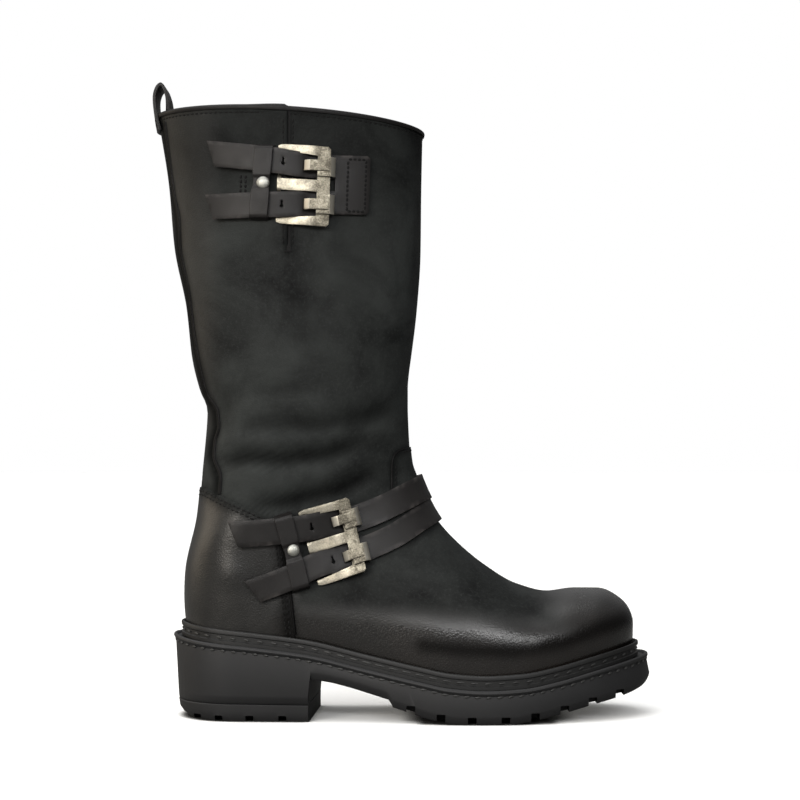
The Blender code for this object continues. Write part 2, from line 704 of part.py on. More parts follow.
def route_on_skin(surface, route):
    """Points along a strap's route on the skin, with the strap's direction and its lift at each."""
    knots = []
    for stop in route:
        if stop.side == FRONT:
            hit = surface.ray_cast(place(400, 0, stop.z), Vector((-1, 0, 0)))
        else:
            hit = surface.ray_cast(place(stop.x, 200 * stop.side, stop.z), Vector((0, -stop.side, 0)))
        knots.append(hit[0])
    lengths = [0.0]
    for a, b in zip(knots, knots[1:]):
        lengths.append(lengths[-1] + (b - a).length / MM)
    axes = [smooth_curve(lengths, [knot[k] for knot in knots]) for k in range(3)]
    lift = smooth_curve(lengths, [stop.lift for stop in route])
    count = round(lengths[-1] / STRAP_STEP)
    spots = []
    for i in range(count + 1):
        along = lengths[-1] * i / count
        loose = Vector([axis(along) for axis in axes])
        spots.append((surface.find_nearest(loose)[0], lift(along)))
    return spots


def build_instep_strap(name, surface, route):
    """A strap from its free end, through the buckle, round the instep to its seam on the inner side."""
    spots = route_on_skin(surface, route)
    base = []
    for i, (spot, lift) in enumerate(spots):
        before = spots[max(i - 1, 0)][0]
        after = spots[min(i + 1, len(spots) - 1)][0]
        normal = surface.find_nearest(spot)[1]
        across = normal.cross(after - before).normalized() * STRAP_WIDTH / 2 * MM
        base.append([surface.find_nearest(spot + across * k)[0] for k in (-1, -0.5, 0, 0.5, 1)])
    lower = []
    upper = []
    for i, row in enumerate(base):
        before = base[max(i - 1, 0)][2]
        after = base[min(i + 1, len(base) - 1)][2]
        out = (after - before).cross(row[-1] - row[0]).normalized() * MM
        lift = spots[i][1]
        lower.append([point + out * lift for point in row])
        upper.append([point + out * (lift + STRAP_THICKNESS) for point in row])
    return new_object(name, sheet_solid(lower, upper, lambda i, j: True), "strap_leather")


def build_shaft_strap(patch):
    """The forked strap on the shaft: a sewn base that splits into two tails."""
    lift = columns_of(SHAFT_STRAP_LIFTS, "u")["lift"]
    lower = []
    upper = []
    for u in SHAFT_STRAP_STOPS:
        top = STRAP_PITCH + SHAFT_TOP_SLOPE * max(SHAFT_SLOPE_START - u, 0.0)
        edges = [-STRAP_PITCH - STRAP_WIDTH / 2, -STRAP_PITCH + STRAP_WIDTH / 2,
                 top - STRAP_WIDTH / 2, top + STRAP_WIDTH / 2]
        lower.append([patch.point(u, v, lift(u)) for v in edges])
        upper.append([patch.point(u, v, lift(u) + STRAP_THICKNESS) for v in edges])
    fork = SHAFT_STRAP_STOPS.index(FORK)
    strap = sheet_solid(lower, upper, lambda i, j: j != 1 or i >= fork)
    return new_object("shaft_strap", strap, "strap_leather")


def build_frame(name, patch):
    """The buckle's frame: two upright bars joined by three arms, with a window for each strap."""
    back, front = FRAME_ENDS
    across = [back, back + FAR_BAR, front - NEAR_BAR, front]
    floors = [FAR_BAR_HEIGHTS[0], FAR_BAR_HEIGHTS[0], NEAR_BAR_HEIGHTS[0], NEAR_BAR_HEIGHTS[0]]
    tops = [FAR_BAR_HEIGHTS[1], FAR_BAR_HEIGHTS[1], NEAR_BAR_HEIGHTS[1], NEAR_BAR_HEIGHTS[1]]
    end = FRAME_HALF_HEIGHT
    middle = MIDDLE_BAR / 2
    up = [-end, END_BAR - end, -middle, middle, end - END_BAR, end]
    lower = [[patch.point(u, v, n) for v in up] for u, n in zip(across, floors)]
    upper = [[patch.point(u, v, n) for v in up] for u, n in zip(across, tops)]
    windows = {(1, 1), (1, 3)}
    return new_object(name, sheet_solid(lower, upper, lambda i, j: (i, j) not in windows), "aged_nickel")


def build_prong(name, patch, v):
    """A prong: a sleeve folded over the near bar, and a tongue that lies on the strap."""
    back, front = PRONG_SLEEVE
    foot = NEAR_BAR_HEIGHTS[0]
    roof = NEAR_BAR_HEIGHTS[1] + GAP
    bar_back = FRAME_ENDS[1] - NEAR_BAR - GAP
    bar_front = FRAME_ENDS[1] + GAP
    sleeve = [
        (back, PRONG_TOP - PRONG_WALL), (bar_back, roof), (bar_front, roof), (bar_front, foot), (front, foot),
        (front, PRONG_TOP - PRONG_CHAMFER), (front - PRONG_CHAMFER, PRONG_TOP), (back, PRONG_TOP),
    ]
    prong = new_object(name, patch.prism(sleeve, v - PRONG_HALF_WIDTH, v + PRONG_HALF_WIDTH), "aged_nickel")
    low, high = TONGUE_TIP_HEIGHTS
    tongue = [
        (TONGUE_TIP, low), (back + TONGUE_LAP, PRONG_TOP - 0.9 * PRONG_WALL),
        (back + TONGUE_ON_SLEEVE, PRONG_TOP - 0.5 * PRONG_WALL),
        (back + TONGUE_ON_SLEEVE, PRONG_TOP + TONGUE_RISE), (back - TONGUE_BEND, PRONG_TOP + TONGUE_RISE),
        (TONGUE_TIP, high),
    ]
    blade = patch.prism(tongue, v - TONGUE_HALF_WIDTH, v + TONGUE_HALF_WIDTH)
    tip = new_object(name + "_tongue", blade, "aged_nickel")
    tip.hide_render = True
    tip.display_type = "WIRE"
    join = prong.modifiers.new("tongue", "BOOLEAN")
    join.operation = "UNION"
    join.solver = "EXACT"
    join.object = tip
    return prong


def build_keeper(name, patch, spot):
    """A band over both strap tails, held down between them by the rivet."""
    over = KEEPER_OVER
    middle = KEEPER_OVER - KEEPER_DIP
    half = STRAP_WIDTH / 2
    edge = half + KEEPER_EDGE
    foot = edge + KEEPER_STEP
    stops = [
        (spot.top + foot + KEEPER_TOE, GAP), (spot.top + foot, GAP + KEEPER_TOE_RISE),
        (spot.top + edge, over), (spot.top, over),
        (spot.top - edge, over), (spot.top - foot, middle), (spot.bottom + foot, middle),
        (spot.bottom + edge, over), (spot.bottom, over), (spot.bottom - edge, over),
        (spot.bottom - foot, GAP + KEEPER_TOE_RISE), (spot.bottom - foot - KEEPER_TOE, GAP),
    ]
    lower = []
    upper = []
    for v, n in stops:
        edges = [spot.u + KEEPER_WIDTH / 2, spot.u, spot.u - KEEPER_WIDTH / 2]
        lower.append([patch.point(u, v, n) for u in reversed(edges)])
        spread = KEEPER_SPREAD * (1 if v > spot.top else -1 if v < spot.bottom else 0)
        upper.append([patch.point(u, v + spread, n + KEEPER_THICKNESS) for u in reversed(edges)])
    lower.reverse()
    upper.reverse()
    return new_object(name, sheet_solid(lower, upper, lambda i, j: True), "strap_leather")


def build_rivet(name, patch, spot):
    """A domed rivet head on the keeper, between the straps."""
    seat = KEEPER_OVER + KEEPER_THICKNESS + RIVET_SEAT
    v = (spot.top + spot.bottom) / 2
    loops = []
    for rise, radius in RIVET_RINGS:
        loop = []
        for k in range(RIVET_SEGMENTS):
            angle = 2 * math.pi * k / RIVET_SEGMENTS
            u_edge = spot.u + radius * math.cos(angle)
            v_edge = v + radius * math.sin(angle)
            loop.append(patch.point(u_edge, v_edge, seat + rise))
        loops.append(loop)
    return new_object(name, loft(loops, (True, True)), "rivet_nickel")


def collar_points():
    """Points round the collar's outer edge, with the way out from the leather and the way up it at each."""
    top = len(SECTIONS) - 1
    turns = [k / COLUMNS_PER_SIDE for k in range(-COLUMNS_PER_SIDE, COLUMNS_PER_SIDE)]
    rim = [upper_point(top, turn) for turn in turns]
    found = []
    for i, spot in enumerate(rim):
        along = rim[(i + 1) % len(rim)] - rim[i - 1]
        up = (spot - upper_point(top - 0.15, turns[i])).normalized()
        out = along.cross(up).normalized()
        found.append((spot, out, up))
    return found


def build_collar_binding():
    """The rolled binding: a channel over the collar's edge."""
    outer = GAP + BINDING_OVERHANG
    inner = WALL + GAP + BINDING_OVERHANG
    profile = [
        (GAP, -BINDING_DROP), (outer, -BINDING_DROP), (outer + BINDING_BELLY, 0.0),
        (outer - BINDING_ROUND, BINDING_TOP), (-inner + BINDING_ROUND, BINDING_TOP),
        (-inner - BINDING_BELLY, 0.0), (-inner, -BINDING_DROP), (-WALL - GAP, -BINDING_DROP),
        (-WALL - GAP, GAP), (GAP, GAP),
    ]
    loops = [[spot + (out * n + up * rise) * MM for n, rise in profile] for spot, out, up in collar_points()]
    return new_object("collar_binding", loft(loops + loops[:1], (False, False)), "strap_leather")


def build_pull_loop():
    """The pull loop: a strip from the back seam up over the collar and down inside the shaft."""
    lengths = [0.0]
    for a, b in zip(LOOP_ROUTE, LOOP_ROUTE[1:]):
        lengths.append(lengths[-1] + math.hypot(b.x - a.x, b.z - a.z))
    x_at = smooth_curve(lengths, [spot.x for spot in LOOP_ROUTE])
    z_at = smooth_curve(lengths, [spot.z for spot in LOOP_ROUTE])
    bow_at = smooth_curve(lengths, [spot.bow for spot in LOOP_ROUTE])
    lower = []
    upper = []
    for k in range(LOOP_STEPS + 1):
        along = lengths[-1] * k / LOOP_STEPS
        step = lengths[-1] / LOOP_STEPS
        forward = x_at(along + step) - x_at(along - step)
        upward = z_at(along + step) - z_at(along - step)
        run = Vector((forward, upward)).normalized()
        x = x_at(along)
        z = z_at(along)
        inner_x = x + run.y * LOOP_THICKNESS
        inner_z = z - run.x * LOOP_THICKNESS
        sides = [(LOOP_WIDTH / 2 * k, bow_at(along) * k * k) for k in (1, 0.5, 0, -0.5, -1)]
        upper.append([place(x + bow, y, z) for y, bow in sides])
        lower.append([place(inner_x + bow, y, inner_z) for y, bow in sides])
    return new_object("pull_loop", sheet_solid(lower, upper, lambda i, j: True), "strap_leather")


def build_boot():
    skin = upper_skin()
    surface = BVHTree.FromBMesh(skin)
    build_upper(skin)
    build_outsole()
    build_heel_lift()
    build_insole()
    build_welt(surface)
    build_collar_binding()
    build_pull_loop()
    shaft = Patch(surface, SHAFT_PATCH)
    instep = Patch(surface, INSTEP_PATCH)
    build_shaft_strap(shaft)
    build_instep_strap("instep_strap_upper", surface, INSTEP_UPPER_ROUTE)
    build_instep_strap("instep_strap_lower", surface, INSTEP_LOWER_ROUTE)
    for name, patch, spot in (("shaft", shaft, SHAFT_KEEPER), ("instep", instep, INSTEP_KEEPER)):
        build_frame(name + "_buckle_frame", patch)
        build_prong(name + "_prong_upper", patch, STRAP_PITCH)
        build_prong(name + "_prong_lower", patch, -STRAP_PITCH)
        build_keeper(name + "_keeper", patch, spot)
        build_rivet(name + "_rivet", patch, spot)


for old in list(bpy.data.objects):
    bpy.data.objects.remove(old)
build_boot()
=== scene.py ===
"""Looks of the biker boot: waxed leather upper, lugged rubber sole, two double buckles.

Sizes are in millimetres, x forward from the sole's back edge, y to the inner side of this right boot and z up
from the floor. place() turns them into the frame's metres.
"""

import bisect
import functools
import math
from collections import namedtuple

import bmesh
import bpy
import numpy as np
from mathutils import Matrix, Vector
from mathutils.bvhtree import BVHTree


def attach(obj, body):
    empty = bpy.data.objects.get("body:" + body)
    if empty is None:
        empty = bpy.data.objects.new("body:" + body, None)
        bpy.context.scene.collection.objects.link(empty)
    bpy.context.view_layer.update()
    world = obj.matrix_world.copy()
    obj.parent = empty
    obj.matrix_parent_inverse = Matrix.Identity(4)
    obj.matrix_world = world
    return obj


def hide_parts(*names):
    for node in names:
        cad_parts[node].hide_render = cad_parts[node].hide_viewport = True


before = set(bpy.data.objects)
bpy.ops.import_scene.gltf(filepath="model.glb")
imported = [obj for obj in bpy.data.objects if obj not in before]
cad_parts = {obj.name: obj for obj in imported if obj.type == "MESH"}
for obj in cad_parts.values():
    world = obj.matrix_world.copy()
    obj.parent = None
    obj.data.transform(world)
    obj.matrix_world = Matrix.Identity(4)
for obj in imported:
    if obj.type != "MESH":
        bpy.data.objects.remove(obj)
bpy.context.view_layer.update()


def rows_of(kind, table):
    """A table's rows, with their columns named."""
    return [kind(*row) for row in table]


MM = 0.001
ORIGIN_X = 133.4
ORIGIN_Y = 0.4
LATERAL = -1
MEDIAL = 1
FRONT = 0
BOTH = (LATERAL, MEDIAL)
# Rays start this far out at the sides, and this far ahead
FAR_OUT = 200
AHEAD_X = 400
# A soft change from nothing, at its start, to the full amount, a reach further on
Fade = namedtuple("Fade", "start reach")

# Last and upper, as in the part: plan outline, then sections from the toe over the instep and up the leg
LAST_BACK = 6.0
LAST_TIP = 269.0
HEEL_ROUND = 33.0
HEEL_POWER = 2.1
TOE_SWING = 4.0
TOE_SWING_START = 150.0
ToeRound = namedtuple("ToeRound", "length power")
TOE_ROUND = {LATERAL: ToeRound(85.0, 2.0), MEDIAL: ToeRound(62.0, 2.2)}
LastWidth = namedtuple("LastWidth", "x lateral medial")
LAST_WIDTHS = rows_of(LastWidth, [
    (39, 32.5, 32.5), (60, 33.4, 32.6), (85, 34.4, 32.0), (110, 37.0, 32.2), (135, 41.0, 35.2),
    (160, 45.0, 39.5), (184, 46.5, 44.0), (207, 46.5, 46.0), (269, 46.5, 46.0),
])
Margin = namedtuple("Margin", "back side tip")
FEATHER = Margin(-3.0, -3.0, -3.0)
ON_LAST = Margin(0, 0, 0)
WALL = 2.2
UPPER_SEAT = 0.6
TOP_SHARE = 0.56
SQUARENESS = 2.15
Section = namedtuple("Section", "back_x back_rise front_x front_z widest lateral medial crown")
SECTIONS = rows_of(Section, [
    (266.0, 0, 267.0, 33.2, 0.25, 0.0, 0.0, 0),
    (265.0, 0, 269.6, 45.0, 0.25, 7.6, 10.6, 0),
    (261.0, 0, 269.6, 54.0, 0.25, 16.0, 20.8, 0),
    (253.0, 0, 266.8, 62.5, 0.25, 24.8, 30.4, 0),
    (241.0, 0, 260.5, 69.0, 0.26, 32.8, 38.2, 0),
    (227.0, 0, 249.5, 73.6, 0.28, 38.6, 43.0, 0),
    (212.0, 0, 235.0, 73.7, 0.32, 42.8, 45.3, 0),
    (196.0, 0, 219.0, 71.9, 0.36, 45.6, 46.0, 0),
    (178.0, 0, 201.0, 76.3, 0.38, 46.4, 44.0, 0),
    (158.0, 0, 183.5, 86.5, 0.37, 45.4, 41.0, 0),
    (136.0, 0, 168.5, 98.5, 0.36, 43.0, 37.6, 0),
    (100.0, 0, 155.0, 113.0, 0.36, 39.0, 35.0, 0),
    (60.0, 0, 147.6, 126.0, 0.33, 36.0, 34.5, 0),
    (24.0, 0, 142.2, 138.5, 0.28, 35.0, 34.5, 0),
    (13.0, 0, 140.6, 142.5, 0.27, 35.2, 34.8, 0),
    (9.0, 0.0, 139.4, 146.0, 0.27, 35.4, 35.0, 0),
    (6.3, 17.0, 138.4, 153.0, 0.27, 36.0, 35.5, 0),
    (6.6, 37.0, 137.8, 160.0, 0.28, 36.5, 36.0, 0),
    (13.8, 69.0, 137.3, 170.0, 0.32, 37.4, 37.0, 0),
    (16.6, 97.0, 137.0, 180.0, 0.38, 38.6, 38.2, 0),
    (19.4, 130.0, 137.0, 191.0, 0.44, 40.0, 39.6, 0),
    (14.8, 144.0, 137.6, 199.0, 0.46, 40.8, 40.4, 0),
    (10.4, 162.0, 139.2, 211.0, 0.48, 41.8, 41.4, 0),
    (7.0, 192.0, 142.2, 236.0, 0.50, 43.4, 43.0, 0),
    (0.0, 227.0, 144.5, 270.0, 0.50, 45.0, 44.6, 0),
    (-3.2, 263.0, 144.9, 305.0, 0.50, 45.8, 45.4, 0),
    (-9.6, 303.5, 145.6, 340.0, 0.50, 46.4, 46.0, 3),
])
HEEL_ROW = 15
COLLAR_ROW = len(SECTIONS) - 1
LEG_MIDDLE_X = 68
SKIN_STEP = 2.3
SKIN_BACK_SHARE = 0.6
SKIN_COLUMNS_PER_SIDE = 84

# Sole, as in the part
SOLE_LENGTH = 279.4
BEAD_RISE = 1.2
SidePoint = namedtuple("SidePoint", "x z")
BEAD_LINE = rows_of(SidePoint, [
    (0, 48.6), (14, 46.1), (47, 42.7), (79, 38.7), (113, 30.8), (144, 23.9), (161, 20.6), (181, 19.3),
    (202, 20.3), (222, 23.8), (241, 28.4), (266, 34.0), (280, 36.8),
])
WAIST_LINE = rows_of(SidePoint, [(80, 24.6), (92, 23.0), (105, 19.8), (113, 17.4), (127, 13.2)])
TREAD_LINE = rows_of(SidePoint, [
    (128, 9.4), (137, 6.6), (152, 2.2), (168, 0.0), (194, 0.0), (206, 1.6), (222, 4.9), (241, 9.4),
    (266, 15.0), (280, 19.5),
])
# The heel's breast: its station along the sole, the x at which it stands upright, its lean and its skew
BREAST = 79.6
BREAST_SLOPE = 1.6
BREAST_X = 82.2
BREAST_SWITCH = 82.0
BREAST_SKEW = 2.15
SKEW_REACH = 34.0
WAIST_END = 126.6
TREAD_START = 128.0
TREAD_LEAD = 0.7
HEEL_LIFT_BACK = 10.4
HEEL_LIFT_FRONT = 9.5
LIFT_GAP = 0.35
SOLE_STEP = 3.0
# Distances of the closer stations from heel and toe
END_GAPS = (0.15, 0.5, 1.0, 1.8, 2.8, 4.2, 6.0, 8.2, 10.8, 13.8, 17.2)
# Levels of the sole from the bottom up: margins of the outline, and the rise over a base line
Level = namedtuple("Level", "back side tip rise")
FOOT_LEVELS = rows_of(Level, [
    (2.7, 4.5, 7.2, 0.0), (3.1, 4.9, 8.0, 0.5), (3.2, 5.5, 9.1, 1.8), (3.3, 6.1, 9.9, 3.3),
    (3.4, 6.6, 10.3, 5.0),
])
BEAD_LEVELS = rows_of(Level, [
    (4.9, 6.0, 8.8, -5.0), (4.9, 5.8, 8.4, -3.4), (5.7, 6.6, 9.0, -2.6), (6.2, 7.0, 9.4, -1.7),
    (6.0, 6.8, 9.2, -0.7), (5.4, 6.2, 8.6, -0.1), (4.6, 5.4, 7.8, 0.0), (3.9, 4.7, 7.1, -0.35),
    (3.4, 4.2, 6.6, -BEAD_RISE),
])
LIFT_FOOT_LEVELS = rows_of(Level, [
    (-4.4, 2.8, 6.0, 0.0), (-2.8, 3.3, 6.0, 0.7), (0.6, 4.3, 6.0, 3.2), (2.5, 4.7, 6.0, 6.0),
])
LIFT_TOP_LEVELS = rows_of(Level, [(3.1, 4.9, 6.0, -0.5), (2.7, 4.5, 6.0, 0.0)])
Lug = namedtuple("Lug", "width depth reach")
LUG = Lug(5.0, 4.4, 12.0)
FOREFOOT_LUGS_X = [138.5, 155.5, 173.0, 192.0, 208.8, 225.7, 242.2, 258.6]
HEEL_LUG = Lug(4.6, 3.5, 11.0)
HEEL_LUGS_X = [16.0, 28.9, 46.6, 65.4]
# Slots run in less far where the tread curls up from the floor
SLOT_CURL = 4.0
SLOT_SHORTEST = 6.5
SLOT_INNERMOST = 4.0
SLOT_PAST_EDGE = 70.0
SLOT_PAST_TREAD = 6.0
SLOT_ROUND = 0.5
# The welt's section, out from its foot at the upper and up from its seat
WELT_HEIGHT = 8.6
WELT_SEAT = 0.65
WELT_GAP = 0.9
WELT_STEPS = 110
WeltPoint = namedtuple("WeltPoint", "out rise")
WELT_PROFILE = rows_of(WeltPoint, [
    (0.0, 0.0), (1.9, 0.0), (2.2, 0.4), (2.2, 2.2), (1.5, 2.7), (1.5, 5.5), (2.2, 6.0), (2.3, 7.4),
    (2.0, 8.2), (1.3, 8.6), (0.7, 8.4), (0.4, 7.6), (0.0, 7.2),
])
WELT_GROOVE = WeltPoint(1.5, 4.1)
# Rays from outside the sole feel for the upper at these shares of the welt's height
WELT_FEELERS = (0.15, 0.25, 0.4, 0.8, 1.2)
FEELER_LENGTH = 80
WELT_OUTSIDE = Margin(30, 30, 30)
WELT_INSIDE = Margin(-9, -9, -9)
BEAD_FACE = Margin(4.9, 5.9, 8.5)
BEAD_FAR = Margin(14.9, 15.9, 18.5)
BEAD_STEPS = 160
BEAD_STITCH_DROP = 3.7
BEAD_STITCH_TILT = 6

# Straps and buckles, as in the part: u forward along the straps, v up across them, n out from the leather
STRAP_WIDTH = 14.2
STRAP_THICKNESS = 2.1
STRAP_PITCH = 10.85
STRAP_ROUND = 0.45
STRAP_CORNER = 1.6
SHAFT_STRAP_STEP = 2.4
INSTEP_STRAP_STEP = 2.8
# A strap's free end is cut at a slant: this far in at its top edge, and further in at its bottom edge
TIP_TRIM = 0.4
SHAFT_TIP_SLANT = 5.4
INSTEP_TIP_SLANT = 5.0
HOLE_RADIUS = 1.05
HOLE_DROP = 1.0
HOLE_SLIT = 0.55
HOLE_SLIT_TOP = 2.4
SHAFT_HOLE_U = -11.8
WORN_EDGE = 1.1
PatchPlace = namedtuple("PatchPlace", "x z tilt_deg")
SHAFT_PATCH = PatchPlace(78.3, 304.0, -1.8)
INSTEP_PATCH = PatchPlace(94.4, 102.5, 16.0)
SHAFT_STRAP_ENDS = (-55.0, 36.0)
TailRise = namedtuple("TailRise", "u upper lower")
SHAFT_TAIL_RISES = rows_of(TailRise, [
    (-55.0, 6.8, -2.0), (-14.5, 2.3, -0.5), (-0.9, 0.6, 0.2), (5.0, 0.6, 0.6), (17.0, 1.0, 1.0),
    (36.0, 2.0, 2.0),
])
BASE_SHRINK = 0.075
BASE_SHRINK_FADE = Fade(6, 12)
FORK = 17.0
# Seams of the shaft strap as u, v: round its base, and two tacks in the leather between its tails
STRAP_BASE_SEAM = [(23.8, 15.9), (33.6, 16.3), (33.6, -13.1), (23.8, -13.5), (23.8, 15.9)]
STRAP_TACKS_U = (-36.2, -33.4)
STRAP_TACK_ENDS = (5.6, -6.0)
LIFT_SEATED = 0.8
LIFT_UNDER_BAR = 0.55
LIFT_TAIL = 2.6
LIFT_KEEPER = 3.0
LIFT_OVER_BAR = 3.3
LIFT_BASE = 0.35
StrapStop = namedtuple("StrapStop", "u lift")
SHAFT_STRAP_LIFTS = rows_of(StrapStop, [
    (-55, LIFT_TAIL), (-29, LIFT_KEEPER), (-17, LIFT_OVER_BAR), (-11, LIFT_OVER_BAR),
    (-3.5, LIFT_OVER_BAR - 0.4), (4.5, LIFT_BASE), (36, LIFT_BASE),
])
RoutePoint = namedtuple("RoutePoint", "x z side lift")
INSTEP_UPPER_ROUTE = rows_of(RoutePoint, [
    (35.4, 106.6, LATERAL, LIFT_TAIL),
    (68.2, 109.4, LATERAL, LIFT_KEEPER),
    (76.5, 110.4, LATERAL, LIFT_OVER_BAR),
    (80.5, 111.0, LATERAL, LIFT_OVER_BAR),
    (92.1, 113.4, LATERAL, LIFT_OVER_BAR - 1.6),
    (102.7, 114.2, LATERAL, LIFT_UNDER_BAR),
    (107.5, 115.4, LATERAL, LIFT_UNDER_BAR),
    (126.6, 122.6, LATERAL, LIFT_SEATED + 0.8),
    (145.0, 132.4, FRONT, LIFT_SEATED + 0.9),
    (122.0, 123.6, MEDIAL, LIFT_SEATED + 0.6),
    (96.0, 116.0, MEDIAL, LIFT_SEATED),
    (64.0, 108.0, MEDIAL, LIFT_SEATED),
])
INSTEP_LOWER_ROUTE = rows_of(RoutePoint, [
    (45.7, 73.4, LATERAL, LIFT_TAIL),
    (75.0, 84.2, LATERAL, LIFT_KEEPER),
    (82.4, 87.7, LATERAL, LIFT_OVER_BAR),
    (86.2, 89.2, LATERAL, LIFT_OVER_BAR),
    (97.7, 92.4, LATERAL, LIFT_OVER_BAR - 1.6),
    (108.3, 96.6, LATERAL, LIFT_UNDER_BAR),
    (113.2, 98.2, LATERAL, LIFT_UNDER_BAR),
    (131.0, 106.0, LATERAL, LIFT_UNDER_BAR),
    (151.0, 119.4, FRONT, LIFT_UNDER_BAR),
    (128.0, 104.6, MEDIAL, LIFT_SEATED),
    (104.0, 94.0, MEDIAL, LIFT_SEATED),
    (72.0, 84.0, MEDIAL, LIFT_SEATED),
])
InstepStrap = namedtuple("InstepStrap", "route hole_at width")
INSTEP_STRAPS = {
    "upper": InstepStrap(INSTEP_UPPER_ROUTE, 46.3, 15.0),
    "lower": InstepStrap(INSTEP_LOWER_ROUTE, 52.0, 14.2),
}
FRAME_ENDS = (-14.9, 13.7)
FRAME_HALF_HEIGHT = 22.3
FRAME_THICKNESS = 3.0
FRAME_STEP = 1.7
FRAME_ROUND = 1.1
FRAME_CORNER = 1.3
NEAR_BAR = 6.8
FAR_BAR = 2.0
MIDDLE_BAR = 6.4
END_BAR_NEAR = 5.4
END_BAR_FAR = 3.5
NEAR_BAR_HEIGHTS = (3.1, 6.5)
FAR_BAR_HEIGHTS = (0.35, 3.0)
# The far bar is sunk between the arms, and the arms' far corners are rounded off
FAR_BAR_SINK = 0.65
FAR_BAR_CLEAR = 1.4
FAR_BAR_RAMP = Fade(FRAME_ENDS[0] + FAR_BAR + 0.8, 0.6)
ARM_END = 4.0
ARM_END_ROUND = 0.9
ARM_POLISH = 0.16
ARM_POLISH_FADE = Fade(FRAME_ENDS[1] - NEAR_BAR, 4)
# A corner counts as flat when its normal lies this close to an axis
FLAT_NORMAL = Fade(0.995, 0.08)
# How far each frame sits up off the middle of its straps, and how far its arms lean up to the back
FramePlace = namedtuple("FramePlace", "up lean")
FRAMES = {"shaft": FramePlace(-0.7, 0.05), "instep": FramePlace(0.0, 0.0)}
PRONG_SLEEVE = (6.1, 15.9)
PRONG_CHAMFER = 2.3
PRONG_FALL = 1.3
PRONG_HALF_WIDTH = 5.4
PRONG_TOP = 8.3
PRONG_BELOW_BAR = 0.6
PRONG_SEAT = 0.3
PRONG_FRONT_WALL = 1.2
PRONG_STEP = 1.4
PRONG_ROUND = 0.55
# How far each sleeve sits up off the middle of its tongue and forward on its bar, and where its tongue ends
ProngPlace = namedtuple("ProngPlace", "up forward tip")
PRONGS = {
    "shaft_upper": ProngPlace(-0.55, 0.7, -0.3),
    "shaft_lower": ProngPlace(0.15, 0.7, 0.3),
    "instep_upper": ProngPlace(-1.0, 1.6, 1.6),
    "instep_lower": ProngPlace(-0.8, 1.8, 3.0),
}
TONGUE_HALF_WIDTH = 2.9
TONGUE_ROOT = 12.3
TONGUE_TOP = 9.5
TONGUE_TIP_HEIGHTS = (4.7, 6.6)
TONGUE_SLOPE = 2.6
TONGUE_STEP = 1.45
TONGUE_ROUND = 0.4
KEEPER_THICKNESS = 1.3
KEEPER_OVER = 6.1
KEEPER_DIP = 0.9
KEEPER_EDGE = 1.1
KEEPER_STEP = 0.6
KEEPER_TOE = 0.8
KEEPER_SHOULDER = 1.0
KEEPER_FALL = 0.7
KEEPER_SAG = 0.1
KEEPER_FOOT_HEIGHTS = (1.4, 4.0)
KEEPER_WAIST = 0.14
KEEPER_WAIST_RATE = 5.5
KEEPER_ROUND = 0.35
KeeperPlace = namedtuple("KeeperPlace", "u slant width top bottom")
SHAFT_KEEPER = KeeperPlace(-23.2, 1.1, 9.9, 12.9, -10.7)
INSTEP_KEEPER = KeeperPlace(-24.2, 0.6, 10.0, 14.0, -12.3)
RIVET_RADIUS = 3.5
RIVET_RIM = 0.35
RIVET_DOME = 1.45
RIVET_SUNK = 0.15
# How far each rivet sits forward and up off the middle of its keeper
RivetPlace = namedtuple("RivetPlace", "forward up")
RIVETS = {"shaft": RivetPlace(1.1, -0.5), "instep": RivetPlace(0.8, 1.0)}

# Panel edges and seams in side view, measured on the photo
QUARTER_TOP_LINE = (SidePoint(20.0, 133.0), SidePoint(54.0, 117.9))
QUARTER_FRONT_LINE = (SidePoint(66.2, 100.0), SidePoint(72.2, 47.0))
QUARTER_PROUD = 0.85
# A black cord along the quarter's front edge stands in for the dark shadow line there: painted shadow
QUARTER_SHADOW_CORD = rows_of(SidePoint, [(66.8, 101.0), (68.9, 82.0), (72.6, 49.5)])
TAB_TOP_LINE = (SidePoint(129.0, 154.4), SidePoint(138.0, 156.6))
TAB_EDGE = rows_of(SidePoint, [
    (127.7, 129.0), (127.7, 141.0), (127.9, 147.6), (128.9, 151.2), (131.2, 153.6), (134.6, 155.2),
])
# Which way the tab's rounded corner faces at the third to fifth points of its edge
TAB_CORNER_WAYS = rows_of(SidePoint, [(-0.96, 0.28), (-0.8, 0.6), (-0.55, 0.83)])
TAB_PROUD = 0.75
PANEL_SUNK = 0.4
PANEL_ROUND = 0.32
SLIT_X = 69.0
SLIT_BOTTOM_Z = 267.0
SLIT_LAP = 1.6
SLIT_RAMP = 19.0
SLIT_ROWS = 60
LAP_TOP_Z = 346.2
LAP_FOOT = 9
LAP_SUNK = 0.12
LAP_THICKNESS = 1.2
LAP_ROUND = 0.25
# A black strip in the slit, beside the lap's edge, stands in for the shade there: painted shade
SHADE_STRIP_TOP_Z = 346.0
SHADE_STRIP_TUCK = 0.6
SHADE_STRIP_WIDTH = 2.2
SHADE_STRIP_PROUD = 0.35
SHADE_STRIP_THICKNESS = 0.6
BACK_SEAM = rows_of(SidePoint, [
    (-3.8, 345.0), (1.6, 303.0), (4.6, 288.0), (5.2, 272.0), (10.2, 246.0), (13.2, 222.0), (20.8, 187.0),
    (27.2, 177.0), (28.0, 168.0), (25.8, 160.0), (25.2, 151.5), (29.6, 139.0), (29.0, 129.6),
])
Piping = namedtuple("Piping", "seam path raised radius")
PIPINGS = rows_of(Piping, [
    ("back_seam", BACK_SEAM, -0.45, 1.45),
    # The quarter's cord is painted shadow: a black cord where the quarter's edge throws a dark line
    ("quarter", QUARTER_SHADOW_CORD, 0.35, 0.95),
    ("tab", TAB_EDGE, 0.1, 0.85),
])

